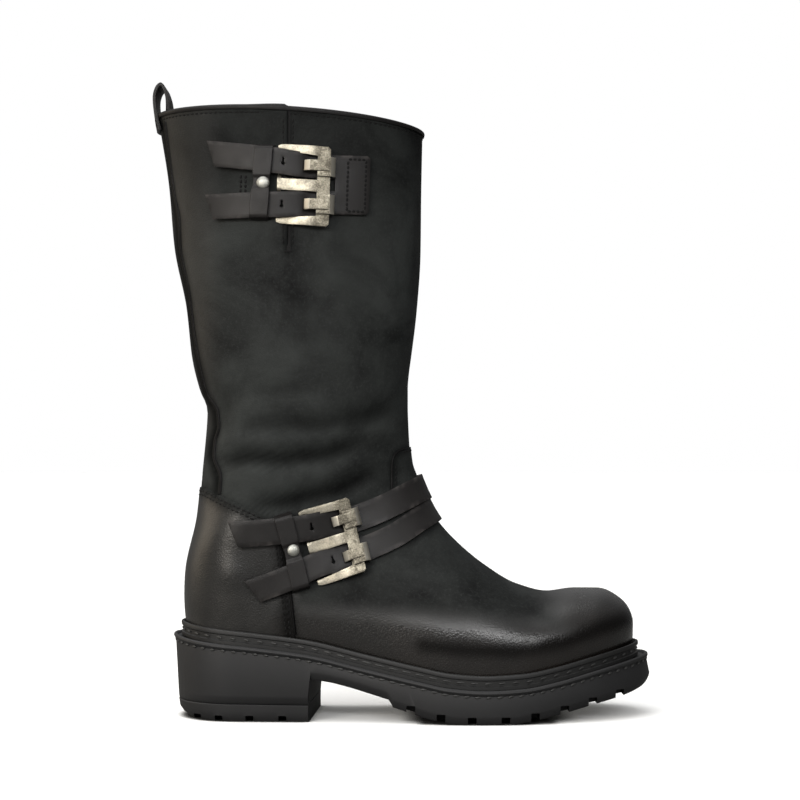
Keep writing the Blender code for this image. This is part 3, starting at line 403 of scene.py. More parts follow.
# Stitches: a stitch's size and the distance from one to the next, then where the rows run
StitchSize = namedtuple("StitchSize", "length width height pitch")
UPPER_STITCH = StitchSize(2.4, 1.05, 0.6, 3.1)
BASE_STITCH = StitchSize(2.1, 1.5, 0.5, 2.6)
TACK_STITCH = StitchSize(2.1, 1.5, 0.7, 2.6)
WELT_STITCH = StitchSize(6.3, 1.2, 0.9, 7.9)
BEAD_STITCH = StitchSize(4.4, 1.5, 1.2, 6.2)
SIDE_LINE_STEP = 1.5
ROW_INSET = 2.0
ROW_GAP = 2.3
QUARTER_ROWS_MEET = 0.2
QUARTER_ROWS_END = 1.5
QUARTER_ROWS_Z = (40, 109)
TAB_ROW_TOP_Z = 149
TAB_ROW_BACK_X = 133
StitchRow = namedtuple("StitchRow", "offset raised")
SLIT_STITCH_ROWS = rows_of(StitchRow, [(-2.5, SLIT_LAP - 0.2), (2.9, 0.0)])
SLIT_STITCH_TOP_Z = 342.0
SLIT_TACK_PITCH = 2.5
COLLAR_STEPS = 120
COLLAR_STITCH_DROP = 0.078

# Collar binding and pull loop, as in the part
BINDING_TOP = 1.4
BINDING_DROP = 1.4
BINDING_BULGE = 1.3
BINDING_TUCK = 0.25
BINDING_THICKNESS = 0.85
# Shares of the binding's width at which its roll starts and ends
BINDING_ROLL = (0.3, 0.7)
# Behind the slit the binding is lapped: it stands further out and up
BINDING_LAP = 0.8
LAP_RISE = Fade(SLIT_X - 26, 24)
LAP_GROWTH = 1.2
LAP_SHIFT = 0.5
LOOP_WIDTH = 24.0
LOOP_THICKNESS = 1.7
LOOP_ROUND = 0.5
# Where the loop's seams start and end along it, and how far they lie in from its edges
LOOP_SEAM = (1.5, 9.0)
LOOP_SEAM_INSET = 2.0
LOOP_SEAM_RAISED = 0.05
LoopPoint = namedtuple("LoopPoint", "x z bow")
LOOP_ROUTE = rows_of(LoopPoint, [
    (-10.3, 341.0, 2.4), (-11.3, 347.0, 1.6), (-11.8, 354.0, 0.6), (-11.5, 361.0, 0.0),
    (-9.8, 366.6, 0.0), (-7.0, 368.8, 0.0), (-4.3, 366.2, 0.0), (-3.2, 360.0, 0.8), (-3.5, 352.0, 2.2),
    (-4.0, 343.0, 2.6), (-2.2, 332.0, 2.6),
])

# Creases and soft swells of the worn leather, in side view: width is the half width of the trough
Crease = namedtuple("Crease", "sides path width depth")
CREASES = rows_of(Crease, [
    (BOTH, [(28, 148), (46, 151), (66, 149.5), (92, 153), (116, 161)], 5.6, 2.3),
    (BOTH, [(44, 123), (72, 126), (100, 133), (122, 144)], 5.0, 1.9),
    (BOTH, [(34, 166), (60, 170), (90, 168), (116, 174), (132, 181)], 6.5, 1.5),
    ((LATERAL,), [(40, 190), (66, 186), (92, 190)], 9.0, 0.6),
    ((MEDIAL,), [(36, 182), (70, 190), (100, 186)], 8.0, 0.8),
    ((LATERAL,), [(24, 158), (30, 172), (34, 186)], 5.0, 0.7),
    ((LATERAL,), [(70, 262), (74, 240), (86, 212)], 12.0, 0.55),
    ((LATERAL,), [(110, 300), (104, 260), (108, 226)], 14.0, 0.6),
    ((LATERAL,), [(34, 300), (32, 262), (38, 226)], 9.0, -0.5),
    ((MEDIAL,), [(52, 300), (60, 262), (56, 220)], 14.0, 0.7),
    ((MEDIAL,), [(104, 310), (98, 268), (106, 230)], 12.0, 0.5),
    (BOTH, [(150, 96), (168, 84), (180, 70)], 7.0, 0.45),
    (BOTH, [(172, 86), (190, 76), (204, 62)], 7.0, 0.40),
    ((LATERAL,), [(120, 74), (150, 64), (176, 58)], 9.0, 0.5),
    ((LATERAL,), [(33, 76), (40, 92)], 10.0, -1.0),
])
# A crease fades out at its ends, and a soft ridge runs along each side of it
CREASE_END = 0.25
RIDGE_HEIGHT = 0.4
RIDGE_PLACE = 1.7
CREASE_MIDDLE = 12
# Painted shade in the creases: how much darker for each millimetre of depth, and the darkest it gets
CREASE_SHADE = 0.34
DARKEST_CREASE_SHADE = 0.62
HEEL_CORNER = SidePoint(60, 105)
HEEL_SOFTENING = 14

# Where the leather is rubbed to a satin: toe, low on the vamp, quarter at the heel and up the back
TOE_RUB = Fade(204, 34)
LOW_RUB = Fade(66, 17)
LOW_RUB_X = 200
LOW_RUB_SLOPE = 0.06
LOW_RUB_BACK = 60
HEEL_RUB = 0.75
HEEL_RUB_FRONT = Fade(76, 4)
HEEL_RUB_DROP = 2
HEEL_RUB_REACH = 3
SPINE_RUB = 0.4
SPINE_RUB_FRONT = Fade(34, 16)
SPINE_RUB_BOTTOM = Fade(150, 30)
# The middle of a small scuff on top of the toe
TOE_SCUFF = (237.5, -15.0, 70.5)

# Fine wrinkles: spots before the buckle and at the flex of the toes, and a belt round the ankle
Wrinkle = namedtuple("Wrinkle", "x z length height depth")
WRINKLES = rows_of(Wrinkle, [(152, 84, 14, 9, 1.0), (186, 70, 14, 12, 0.6)])
WrinkleBelt = namedtuple("WrinkleBelt", "z height depth")
ANKLE_WRINKLES = WrinkleBelt(150, 22, 0.7)

# Painted shade in bands along the back seam, the slit and the panels' edges, and low on the vamp's side; at the
# back seam the band also gives the back stay its own near-black colour: half width and depth of tone
SeamBand = namedtuple("SeamBand", "sides path width tone")
SHADE_BANDS = rows_of(SeamBand, [
    (BOTH, [(spot.x - 2.0, spot.z) for spot in BACK_SEAM], 6.0, 0.8),
    ((LATERAL,), [(SLIT_X + 0.6, SLIT_BOTTOM_Z), (SLIT_X + 0.6, SHADE_STRIP_TOP_Z)], 5.0, 0.6),
    (BOTH, [(0.0, 130.0), (19.0, 130.0), (66.0, 109.2)], 7.0, 0.6),
    (BOTH, [(64.4, 108.0), (69.6, 48.0)], 7.4, 0.75),
    (BOTH, [(spot.x + 0.6, spot.z) for spot in TAB_EDGE], 4.5, 0.5),
    (BOTH, [(146, 44), (172, 41.5), (198, 41), (226, 45.5), (249, 54), (262, 57)], 8.0, 0.6),
])
COLLAR_TONE = 0.36
COLLAR_FADE = Fade(270, 60)

# Studio floor and lights, in metres
FLOOR_SIZE = 24
Lamp = namedtuple("Lamp", "name at aim width height power colour")
SOFTBOXES = rows_of(Lamp, [
    ("key_strip", (-0.15, -1.3, 0.62), (0.0, 0.0, 0.06), 2.0, 0.24, 17.5, "#ffffff"),
    ("heel_softbox", (-0.85, -1.15, 0.42), (-0.09, 0.0, 0.09), 0.6, 0.6, 7.0, "#fff5e6"),
    ("left_softbox", (-1.3, 0.2, 0.5), (0.0, 0.0, 0.15), 0.8, 0.8, 4, "#ffedd2"),
])
TOP_SHEET_AT = (-0.6, -0.3, 2.0)
TOP_SHEET_ANGLE = 60
TOP_SHEET_POWER = 1.8

# Camera: the photo's scale at the boot's middle plane, its distance and its horizon
PHOTO_SIZE = 800
PHOTO_SCALE = 1.7
CAMERA_DISTANCE = 1150.0
CAMERA_X = 132.4
CAMERA_Z = 154.8
HORIZON_ROW = 450
SENSOR = 36.0


def place(x, y, z):
    """A point in millimetres from the sole's back edge, in the frame's metres."""
    return Vector(((x - ORIGIN_X) * MM, (y - ORIGIN_Y) * MM, z * MM))


def unplace(point):
    """A point of the frame, in millimetres from the sole's back edge."""
    return point[0] / MM + ORIGIN_X, point[1] / MM + ORIGIN_Y, point[2] / MM


def smooth_curve(xs, ys):
    """A smooth curve through the points that never overshoots them."""
    xs = [float(x) for x in xs]
    runs = [b - a for a, b in zip(xs, xs[1:])]
    slopes = [(b - a) / run for a, b, run in zip(ys, ys[1:], runs)]
    tangents = [0.0] * len(xs)
    for i in range(1, len(xs) - 1):
        if slopes[i - 1] * slopes[i] > 0:
            before = 2 * runs[i] + runs[i - 1]
            after = runs[i] + 2 * runs[i - 1]
            tangents[i] = (before + after) / (before / slopes[i - 1] + after / slopes[i])
    tangents[0] = slopes[0]
    tangents[-1] = slopes[-1]

    def value(x):
        i = min(max(bisect.bisect_left(xs, x) - 1, 0), len(runs) - 1)
        t = min(max((x - xs[i]) / runs[i], 0.0), 1.0)
        rise = ys[i + 1] - ys[i]
        start = runs[i] * tangents[i]
        finish = runs[i] * tangents[i + 1]
        return ys[i] + t * (start + t * (3 * rise - 2 * start - finish + t * (start + finish - 2 * rise)))

    return value


def columns_of(rows, key):
    """One smooth curve for each column of a table, over the column named key or over the row's number."""
    keys = range(len(rows)) if key is None else [getattr(row, key) for row in rows]
    return {name: smooth_curve(keys, [getattr(row, name) for row in rows]) for name in rows[0]._fields}


def smooth_step(x):
    """From 0 to 1, with a soft start and a soft end."""
    x = min(max(x, 0.0), 1.0)
    return x * x * (3 - 2 * x)


WIDTH_AT = columns_of(LAST_WIDTHS, "x")
SECTION_AT = columns_of(SECTIONS, None)
BEAD_Z = columns_of(BEAD_LINE, "x")["z"]
WAIST_Z = columns_of(WAIST_LINE, "x")["z"]
TREAD_Z = columns_of(TREAD_LINE, "x")["z"]
SHAFT_STRAP_LIFT = columns_of(SHAFT_STRAP_LIFTS, "u")["lift"]
SHAFT_TAIL_RISE = columns_of(SHAFT_TAIL_RISES, "u")


def ledge_z(x):
    """Height of the sole's top ledge, on which upper and welt stand."""
    return BEAD_Z(x) - BEAD_RISE


def axis_y(x):
    """The foot's own curve: its middle line swings to the inner side at the toe."""
    return TOE_SWING * smooth_step((x - TOE_SWING_START) / (LAST_TIP - TOE_SWING_START))


def half_width(side, x, margin):
    """Half width of the last's plan outline on one side, grown by a margin."""
    base = WIDTH_AT["lateral" if side == LATERAL else "medial"](x) + margin.side
    toe = TOE_ROUND[side]
    behind = (LAST_BACK + HEEL_ROUND - x) / (HEEL_ROUND + margin.back)
    ahead = (x - LAST_TIP + toe.length) / (toe.length + margin.tip)
    if behind > 0:
        base *= max(1 - behind**HEEL_POWER, 0.0) ** (1 / HEEL_POWER)
    if ahead > 0:
        base *= max(1 - ahead**toe.power, 0.0) ** (1 / toe.power)
    return base


def station_x(station, margin):
    """x of a station that is counted along the sole, on an outline grown by a margin."""
    back = LAST_BACK - margin.back
    tip = LAST_TIP + margin.tip
    return back + (tip - back) * station / SOLE_LENGTH


def outline_point(side, station, margin):
    """x and y on the grown outline, at a station counted along the sole."""
    x = station_x(station, margin)
    return x, axis_y(x) + side * half_width(side, x, margin)


@functools.lru_cache(maxsize=None)
def section_at(row):
    """The section at a row, which may lie between two tabled ones."""
    return Section(*(SECTION_AT[name](row) for name in Section._fields))


def upper_point(row, turn):
    """A point on the upper's outer face: row runs from toe to collar, turn from -1 (outer) to 1 (inner)."""
    section = section_at(row)
    side = LATERAL if turn < 0 else MEDIAL
    half = section.lateral if side == LATERAL else section.medial
    in_foot = row <= HEEL_ROW
    seat_x = section.back_x if in_foot else SECTIONS[HEEL_ROW].back_x
    back_z = UPPER_SEAT + ledge_z(seat_x) + section.back_rise
    end = half_width(side, section.back_x, FEATHER) if in_foot else 0.0
    share = abs(turn)
    if share <= TOP_SHARE:
        angle = share / TOP_SHARE * math.pi / 2
        along = section.widest + (1 - section.widest) * math.cos(angle) ** (2 / SQUARENESS)
        out = half * math.sin(angle) ** (2 / SQUARENESS)
    else:
        angle = (share - TOP_SHARE) / (1 - TOP_SHARE) * math.pi / 2
        along = section.widest * (1 - math.sin(angle))
        out = end + (half - end) * max(math.cos(angle), 0.0)
    x = section.back_x + (section.front_x - section.back_x) * along
    z = back_z + (section.front_z - back_z) * along
    z += section.crown * (out / half) ** 2 if half else 0.0
    return place(x, axis_y(x) + side * out, z)


# Modelling steps shared by the pieces


def only(obj):
    """Makes obj the one selected and active object."""
    bpy.ops.object.select_all(action="DESELECT")
    obj.select_set(True)
    bpy.context.view_layer.objects.active = obj
    return obj


def titled(obj, name):
    """Names an object and its mesh."""
    obj.name = name
    obj.data.name = name
    return obj


def into_scene(name, data):
    """A new object in the scene."""
    obj = bpy.data.objects.new(name, data)
    bpy.context.scene.collection.objects.link(obj)
    return obj


def copy_of(obj, name):
    """A copy with its own mesh."""
    return titled(into_scene(name, obj.data.copy()), name)


def primitive(name, operator, **settings):
    """Adds a primitive while nothing else is selected, with its place and turn in its mesh."""
    bpy.ops.object.select_all(action="DESELECT")
    operator(**settings)
    bpy.ops.object.transform_apply(location=True, rotation=True, scale=True)
    return titled(bpy.context.object, name)


def edit(obj, *steps):
    """Runs steps in edit mode on all of obj's mesh."""
    only(obj)
    bpy.ops.object.mode_set(mode="EDIT")
    bpy.ops.mesh.select_all(action="SELECT")
    for step in steps:
        step()
    bpy.ops.object.mode_set(mode="OBJECT")
    return obj


def weld(obj, distance=0.02):
    """Merges doubles and turns the faces outwards."""
    return edit(
        obj,
        lambda: bpy.ops.mesh.remove_doubles(threshold=distance * MM),
        lambda: bpy.ops.mesh.dissolve_degenerate(threshold=0.005 * MM),
        lambda: bpy.ops.mesh.normals_make_consistent(inside=False),
    )


def apply(obj, kind, **settings):
    """Adds a modifier and applies it."""
    only(obj)
    change = obj.modifiers.new(kind.lower(), kind)
    for name, value in settings.items():
        setattr(change, name, value)
    bpy.ops.object.modifier_apply(modifier=change.name)
    return obj


def round_edges(obj, width, segments=2, angle=40):
    """Rounds the edges that are sharper than angle, and shades the rest smooth.

    The width is in millimetres for a piece that is in its place, in metres, and less where edges would overlap.
    On a piece that is still flat, in millimetres, the rounding comes out a thousand times finer: it marks the
    edges, and they stay sharp to the eye.
    """
    apply(
        obj, "BEVEL", width=width * MM, segments=segments, limit_method="ANGLE",
        angle_limit=math.radians(angle), use_clamp_overlap=True, loop_slide=False,
    )
    return smooth(obj)


def smooth(obj, angle=45):
    """Shades smooth across edges that are blunter than angle."""
    only(obj)
    bpy.ops.object.shade_smooth_by_angle(angle=math.radians(angle))
    return obj


def sheet(name, columns, rows, point):
    """A grid whose corners are laid on a surface: point takes a column's and a row's number."""
    obj = primitive(
        name, bpy.ops.mesh.primitive_grid_add, x_subdivisions=columns, y_subdivisions=rows, size=1,
    )
    for vert in obj.data.vertices:
        vert.co = point(round((vert.co.x + 0.5) * columns), round((vert.co.y + 0.5) * rows))
    return obj


def thicken(obj, thickness):
    """Gives a sheet its thickness, away from where it faces."""
    return apply(obj, "SOLIDIFY", thickness=thickness * MM, offset=-1, use_rim=True)


def thicken_outer(obj, thickness):
    """Turns a sheet on the boot's outer side to face outwards, and gives it its thickness."""
    if obj.data.polygons[0].normal.y > 0:
        obj.data.flip_normals()
    return thicken(obj, thickness)


def block(name, low, high):
    """A box from one corner to the other, in the units of the piece that it is for."""
    size = [b - a for a, b in zip(low, high)]
    middle = [(a + b) / 2 for a, b in zip(low, high)]
    return primitive(name, bpy.ops.mesh.primitive_cube_add, size=1, location=middle, scale=size)


def plank(name, low, high, step):
    """A flat box, cut across every step so that it can be bent."""
    obj = block(name, low, high)
    for axis in (0, 1):
        count = round((high[axis] - low[axis]) / step)
        for k in range(1, count):
            at = [0.0, 0.0, 0.0]
            normal = [0.0, 0.0, 0.0]
            at[axis] = low[axis] + (high[axis] - low[axis]) * k / count
            normal[axis] = 1.0
            edit(obj, lambda: bpy.ops.mesh.bisect(plane_co=at, plane_no=normal))
    return obj


def trim(obj, at, normal, fill=True):
    """Cuts off what lies beyond a plane."""
    return edit(
        obj,
        lambda: bpy.ops.mesh.bisect(plane_co=at, plane_no=normal, use_fill=fill, clear_outer=True),
    )


def trim_corners(obj, front, half, corner):
    """Cuts off the two front corners of a flat piece."""
    for sign in (-1, 1):
        trim(obj, (front - corner, sign * half, 0), Vector((1, sign, 0)))


def cut(obj, *tools, operation="DIFFERENCE"):
    """Cuts tools out of obj, or joins them to it, and removes them."""
    for tool in tools:
        apply(obj, "BOOLEAN", operation=operation, solver="EXACT", object=tool)
        bpy.data.objects.remove(tool)
    return obj


def join(name, pieces):
    """Joins pieces into one mesh."""
    only(pieces[0])
    for piece in pieces[1:]:
        piece.select_set(True)
    bpy.ops.object.join()
    return titled(bpy.context.view_layer.objects.active, name)


def lay(obj, surface):
    """Moves each corner of a flat piece to its place on the boot."""
    for vert in obj.data.vertices:
        vert.co = surface(*vert.co)
    obj.data.update()
    return obj


def finish(obj, material, slot, *nodes):
    """Gives a piece its material and says what it rides on and stands for."""
    obj.data.materials.clear()
    for one in material if isinstance(material, (list, tuple)) else [material]:
        obj.data.materials.append(one)
    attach(obj, "root")
    if nodes:
        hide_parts(*nodes)
    return obj


def note(obj, name, values):
    """Keeps a number at each corner of the mesh, which its material reads."""
    layer = obj.data.attributes.new(name, "FLOAT", "POINT")
    layer.data.foreach_set("value", values)


def attribute(obj, name, value):
    """A number at each corner of the mesh, worked out from its place in millimetres."""
    note(obj, name, [value(*unplace(vert.co)) for vert in obj.data.vertices])


def span(a, b):
    """Distance between two points on the boot, in millimetres."""
    return (b - a).length / MM


def side_span(a, b):
    """Distance between two points of the side view."""
    return math.hypot(b.x - a.x, b.z - a.z)


def lengths_along(points, gap):
    """How far along a line each of its points lies, where gap measures from one to the next."""
    lengths = [0.0]
    for a, b in zip(points, points[1:]):
        lengths.append(lengths[-1] + gap(a, b))
    return lengths


# Materials


def linear(code):
    """An sRGB hex colour as linear red, green, blue and alpha."""
    shares = [int(code[i:i + 2], 16) / 255 for i in (1, 3, 5)]
    return (*[s / 12.92 if s <= 0.04045 else ((s + 0.055) / 1.055) ** 2.4 for s in shares], 1.0)


def per_mm(size):
    """A texture's scale for a pattern of that size in millimetres."""
    return 1 / (size * MM)


def add(tree, kind, inputs=None, **settings):
    """Adds a node with its settings; inputs are values, or the outputs that they link to."""
    made = tree.nodes.new(kind)
    for name, value in settings.items():
        setattr(made, name, value)
    for name, value in (inputs or {}).items():
        if isinstance(value, bpy.types.NodeSocket):
            tree.links.new(value, made.inputs[name])
        else:
            made.inputs[name].default_value = value
    return made


def new_material(name, **sockets):
    """A material with constants on its shader's own sockets."""
    material = bpy.data.materials.new(name)
    material.use_nodes = True
    tree = material.node_tree
    shader = tree.nodes["Principled BSDF"]
    for socket, value in sockets.items():
        shader.inputs[socket.replace("_", " ")].default_value = value
    where = add(tree, "ShaderNodeTexCoord").outputs["Object"]
    return material, tree, shader, where


MIX_FACTOR, MIX_A, MIX_B, MIX_COLOUR = 0, 6, 7, 2


def waxed_leather():
    """Waxed nubuck, rubbed to a satin where burnish is 1: cloudy grey-green black that turns brown-black."""
    material, tree, shader, where = new_material("waxed_nubuck")
    burnish = add(tree, "ShaderNodeAttribute", attribute_name="burnish").outputs["Fac"]
    hollow = add(tree, "ShaderNodeAttribute", attribute_name="hollow").outputs["Fac"]
    wrinkled = add(tree, "ShaderNodeAttribute", attribute_name="wrinkle").outputs["Fac"]
    cloud = add(tree, "ShaderNodeTexNoise", {
        "Vector": where, "Scale": per_mm(52), "Detail": 7.0, "Roughness": 0.62, "Distortion": 0.4,
    }).outputs["Fac"]
    fleck = add(tree, "ShaderNodeTexNoise", {
        "Vector": where, "Scale": per_mm(1.7), "Detail": 4.0, "Roughness": 0.7,
    }).outputs["Fac"]
    cloudy = add(tree, "ShaderNodeMapRange", {
        "Value": cloud, "From Min": 0.36, "From Max": 0.64, "To Min": 0.0, "To Max": 1.0,
    }).outputs["Result"]
    nubuck = add(tree, "ShaderNodeMix", {
        MIX_FACTOR: cloudy, MIX_A: linear("#0e0f0f"), MIX_B: linear("#2a2c2b"),
    }, data_type="RGBA").outputs[MIX_COLOUR]
    dusty = add(tree, "ShaderNodeMapRange", {
        "Value": fleck, "From Min": 0.5, "From Max": 0.8, "To Min": 0.0, "To Max": 0.6,
    }).outputs["Result"]
    flecked = add(tree, "ShaderNodeMix", {
        MIX_FACTOR: dusty, MIX_A: nubuck, MIX_B: linear("#303231"),
    }, data_type="RGBA").outputs[MIX_COLOUR]
    rubbed = add(tree, "ShaderNodeMix", {
        MIX_FACTOR: cloudy, MIX_A: linear("#0a0908"), MIX_B: linear("#151210"),
    }, data_type="RGBA").outputs[MIX_COLOUR]
    worn = add(tree, "ShaderNodeMix", {
        MIX_FACTOR: burnish, MIX_A: flecked, MIX_B: rubbed,
    }, data_type="RGBA").outputs[MIX_COLOUR]
    # Painted shade: the colour is painted near black in the creases and along seams and panel edges, and darker
    # towards the collar
    shaded = add(tree, "ShaderNodeMix", {
        MIX_FACTOR: hollow, MIX_A: worn, MIX_B: linear("#030303"),
    }, data_type="RGBA").outputs[MIX_COLOUR]
    # A star-shaped scuff, 4 mm wide, on top of the toe
    away = add(tree, "ShaderNodeVectorMath", {
        0: where, 1: place(*TOE_SCUFF),
    }, operation="DISTANCE").outputs["Value"]
    spot = add(tree, "ShaderNodeMapRange", {
        "Value": away, "From Min": 1.5 * MM, "From Max": 5.0 * MM, "To Min": 1.0, "To Max": 0.0,
    }).outputs["Result"]
    cells = add(tree, "ShaderNodeTexVoronoi", {
        "Vector": where, "Scale": per_mm(3.0),
    }, feature="DISTANCE_TO_EDGE").outputs["Distance"]
    crack = add(tree, "ShaderNodeMapRange", {
        "Value": cells, "From Min": 0.02, "From Max": 0.10, "To Min": 0.9, "To Max": 0.0,
    }).outputs["Result"]
    scuff = add(tree, "ShaderNodeMath", {0: spot, 1: crack}, operation="MULTIPLY").outputs[0]
    scuffed = add(tree, "ShaderNodeMix", {
        MIX_FACTOR: scuff, MIX_A: shaded, MIX_B: linear("#050404"),
    }, data_type="RGBA").outputs[MIX_COLOUR]
    tree.links.new(scuffed, shader.inputs["Base Color"])
    gloss = add(tree, "ShaderNodeMapRange", {
        "Value": burnish, "From Min": 0.0, "From Max": 1.0, "To Min": 0.62, "To Max": 0.2,
    }).outputs["Result"]
    uneven = add(tree, "ShaderNodeMath", {0: fleck, 1: 0.13, 2: gloss}, operation="MULTIPLY_ADD").outputs[0]
    tree.links.new(uneven, shader.inputs["Roughness"])
    sheen = add(tree, "ShaderNodeMapRange", {
        "Value": burnish, "From Min": 0.0, "From Max": 1.0, "To Min": 0.1, "To Max": 0.55,
    }).outputs["Result"]
    # Where shade is painted the shine is taken away too, so that the painted shade stays dark
    kept = add(tree, "ShaderNodeMapRange", {
        "Value": hollow, "From Min": 0.0, "From Max": 0.9, "To Min": 1.0, "To Max": 0.0,
    }).outputs["Result"]
    shine = add(tree, "ShaderNodeMath", {0: sheen, 1: kept}, operation="MULTIPLY").outputs[0]
    tree.links.new(shine, shader.inputs["Specular IOR Level"])
    # Grain about 0.6 mm wide on the real hide, drawn at 0.9 mm to show; wrinkles about 2.5 mm apart
    grain = add(tree, "ShaderNodeTexVoronoi", {
        "Vector": where, "Scale": per_mm(0.9), "Randomness": 1.0,
    }, feature="F1").outputs["Distance"]
    wrinkle = add(tree, "ShaderNodeTexNoise", {
        "Vector": where, "Scale": per_mm(4.0), "Detail": 4.0, "Roughness": 0.6, "Distortion": 1.6,
    }).outputs["Fac"]
    deep = add(tree, "ShaderNodeMath", {0: wrinkled, 1: 4.0, 2: 1.2}, operation="MULTIPLY_ADD").outputs[0]
    height = add(tree, "ShaderNodeMath", {0: wrinkle, 1: deep, 2: grain}, operation="MULTIPLY_ADD").outputs[0]
    dented = add(tree, "ShaderNodeMath", {0: scuff, 1: -3.0, 2: height}, operation="MULTIPLY_ADD").outputs[0]
    bump = add(tree, "ShaderNodeBump", {
        "Height": dented, "Strength": 0.28, "Distance": 0.25 * MM,
    }).outputs["Normal"]
    tree.links.new(bump, shader.inputs["Normal"])
    return material


def smooth_leather(name, dark, light, low, high, sheen):
    """Finished strap leather: even brown-black with a soft satin, faint pores and rubbed patches."""
    material, tree, shader, where = new_material(name, Specular_IOR_Level=sheen)
    cloud = add(tree, "ShaderNodeTexNoise", {
        "Vector": where, "Scale": per_mm(11), "Detail": 4.0, "Roughness": 0.6,
    }).outputs["Fac"]
    colour = add(tree, "ShaderNodeMix", {
        MIX_FACTOR: cloud, MIX_A: linear(dark), MIX_B: linear(light),
    }, data_type="RGBA").outputs[MIX_COLOUR]
    edge = add(tree, "ShaderNodeAttribute", attribute_name="edge").outputs["Fac"]
    rub = add(tree, "ShaderNodeTexNoise", {"Vector": where, "Scale": per_mm(6), "Detail": 4.0}).outputs["Fac"]
    bare = add(tree, "ShaderNodeMapRange", {
        "Value": rub, "From Min": 0.46, "From Max": 0.66, "To Min": 0.0, "To Max": 0.4,
    }).outputs["Result"]
    wear = add(tree, "ShaderNodeMath", {0: edge, 1: bare}, operation="MULTIPLY").outputs[0]
    worn = add(tree, "ShaderNodeMix", {
        MIX_FACTOR: wear, MIX_A: colour, MIX_B: linear("#4c4846"),
    }, data_type="RGBA").outputs[MIX_COLOUR]
    tree.links.new(worn, shader.inputs["Base Color"])
    gloss = add(tree, "ShaderNodeMapRange", {
        "Value": cloud, "From Min": 0.3, "From Max": 0.7, "To Min": low, "To Max": high,
    }).outputs["Result"]
    tree.links.new(gloss, shader.inputs["Roughness"])
    # Pores about 0.4 mm apart, drawn at 0.8 mm to show
    pores = add(tree, "ShaderNodeTexVoronoi", {"Vector": where, "Scale": per_mm(0.8)}).outputs["Distance"]
    bump = add(tree, "ShaderNodeBump", {
        "Height": pores, "Strength": 0.08, "Distance": 0.2 * MM,
    }).outputs["Normal"]
    tree.links.new(bump, shader.inputs["Normal"])
    return material


def moulded_rubber(name, dark, light, roughness):
    """Compression-moulded rubber: dull grey-black with a fine sandy skin and faint dust."""
    material, tree, shader, where = new_material(name, Specular_IOR_Level=0.35)
    cloud = add(tree, "ShaderNodeTexNoise", {
        "Vector": where, "Scale": per_mm(22), "Detail": 6.0, "Roughness": 0.65,
    }).outputs["Fac"]
    colour = add(tree, "ShaderNodeMix", {
        MIX_FACTOR: cloud, MIX_A: linear(dark), MIX_B: linear(light),
    }, data_type="RGBA").outputs[MIX_COLOUR]
    tree.links.new(colour, shader.inputs["Base Color"])
    sand = add(tree, "ShaderNodeTexNoise", {
        "Vector": where, "Scale": per_mm(0.8), "Detail": 2.0, "Roughness": 0.6,
    }).outputs["Fac"]
    dull = add(tree, "ShaderNodeMath", {0: cloud, 1: 0.14, 2: roughness}, operation="MULTIPLY_ADD").outputs[0]
    tree.links.new(dull, shader.inputs["Roughness"])
    bump = add(tree, "ShaderNodeBump", {
        "Height": sand, "Strength": 0.12, "Distance": 0.2 * MM,
    }).outputs["Normal"]
    tree.links.new(bump, shader.inputs["Normal"])
    return material


def antique_nickel():
    """Nickel-plated zinc casting, aged and rubbed back: bright worn edges round flats mottled grey-brown."""
    material, tree, shader, where = new_material("antique_nickel", Metallic=1.0)
    pits = add(tree, "ShaderNodeTexNoise", {
        "Vector": where, "Scale": per_mm(0.9), "Detail": 4.0, "Roughness": 0.75,
    }).outputs["Fac"]
    patches = add(tree, "ShaderNodeTexNoise", {
        "Vector": where, "Scale": per_mm(7), "Detail": 3.0, "Roughness": 0.6,
    }).outputs["Fac"]
    wear = add(tree, "ShaderNodeAttribute", attribute_name="wear").outputs["Fac"]
    aged = add(tree, "ShaderNodeMath", {0: patches, 1: 0.8, 2: pits}, operation="MULTIPLY_ADD").outputs[0]
    black = add(tree, "ShaderNodeMath", {0: wear, 1: -0.42, 2: aged}, operation="MULTIPLY_ADD").outputs[0]
    mask = add(tree, "ShaderNodeMapRange", {
        "Value": black, "From Min": 0.6, "From Max": 1.02, "To Min": 0.0, "To Max": 0.8,
    }).outputs["Result"]
    opening = add(tree, "ShaderNodeAmbientOcclusion", {"Distance": 4 * MM}, samples=8).outputs["AO"]
    corner = add(tree, "ShaderNodeMapRange", {
        "Value": opening, "From Min": 0.35, "From Max": 0.85, "To Min": 0.9, "To Max": 0.0,
    }).outputs["Result"]
    patina = add(tree, "ShaderNodeMath", {0: mask, 1: corner}, operation="MAXIMUM").outputs[0]
    flats = add(tree, "ShaderNodeMix", {
        MIX_FACTOR: patina, MIX_A: linear("#9c9686"), MIX_B: linear("#332e28"),
    }, data_type="RGBA").outputs[MIX_COLOUR]
    rubbed = add(tree, "ShaderNodeMapRange", {
        "Value": opening, "From Min": 0.4, "From Max": 0.9, "To Min": 0.0, "To Max": 0.9,
    }).outputs["Result"]
    bright = add(tree, "ShaderNodeMath", {0: wear, 1: rubbed}, operation="MULTIPLY").outputs[0]
    colour = add(tree, "ShaderNodeMix", {
        MIX_FACTOR: bright, MIX_A: flats, MIX_B: linear("#e9e3d4"),
    }, data_type="RGBA").outputs[MIX_COLOUR]
    tree.links.new(colour, shader.inputs["Base Color"])
    rough = add(tree, "ShaderNodeMapRange", {
        "Value": mask, "From Min": 0.0, "From Max": 1.0, "To Min": 0.36, "To Max": 0.6,
    }).outputs["Result"]
    tree.links.new(rough, shader.inputs["Roughness"])
    bump = add(tree, "ShaderNodeBump", {
        "Height": pits, "Strength": 0.22, "Distance": 0.25 * MM,
    }).outputs["Normal"]
    tree.links.new(bump, shader.inputs["Normal"])
    return material


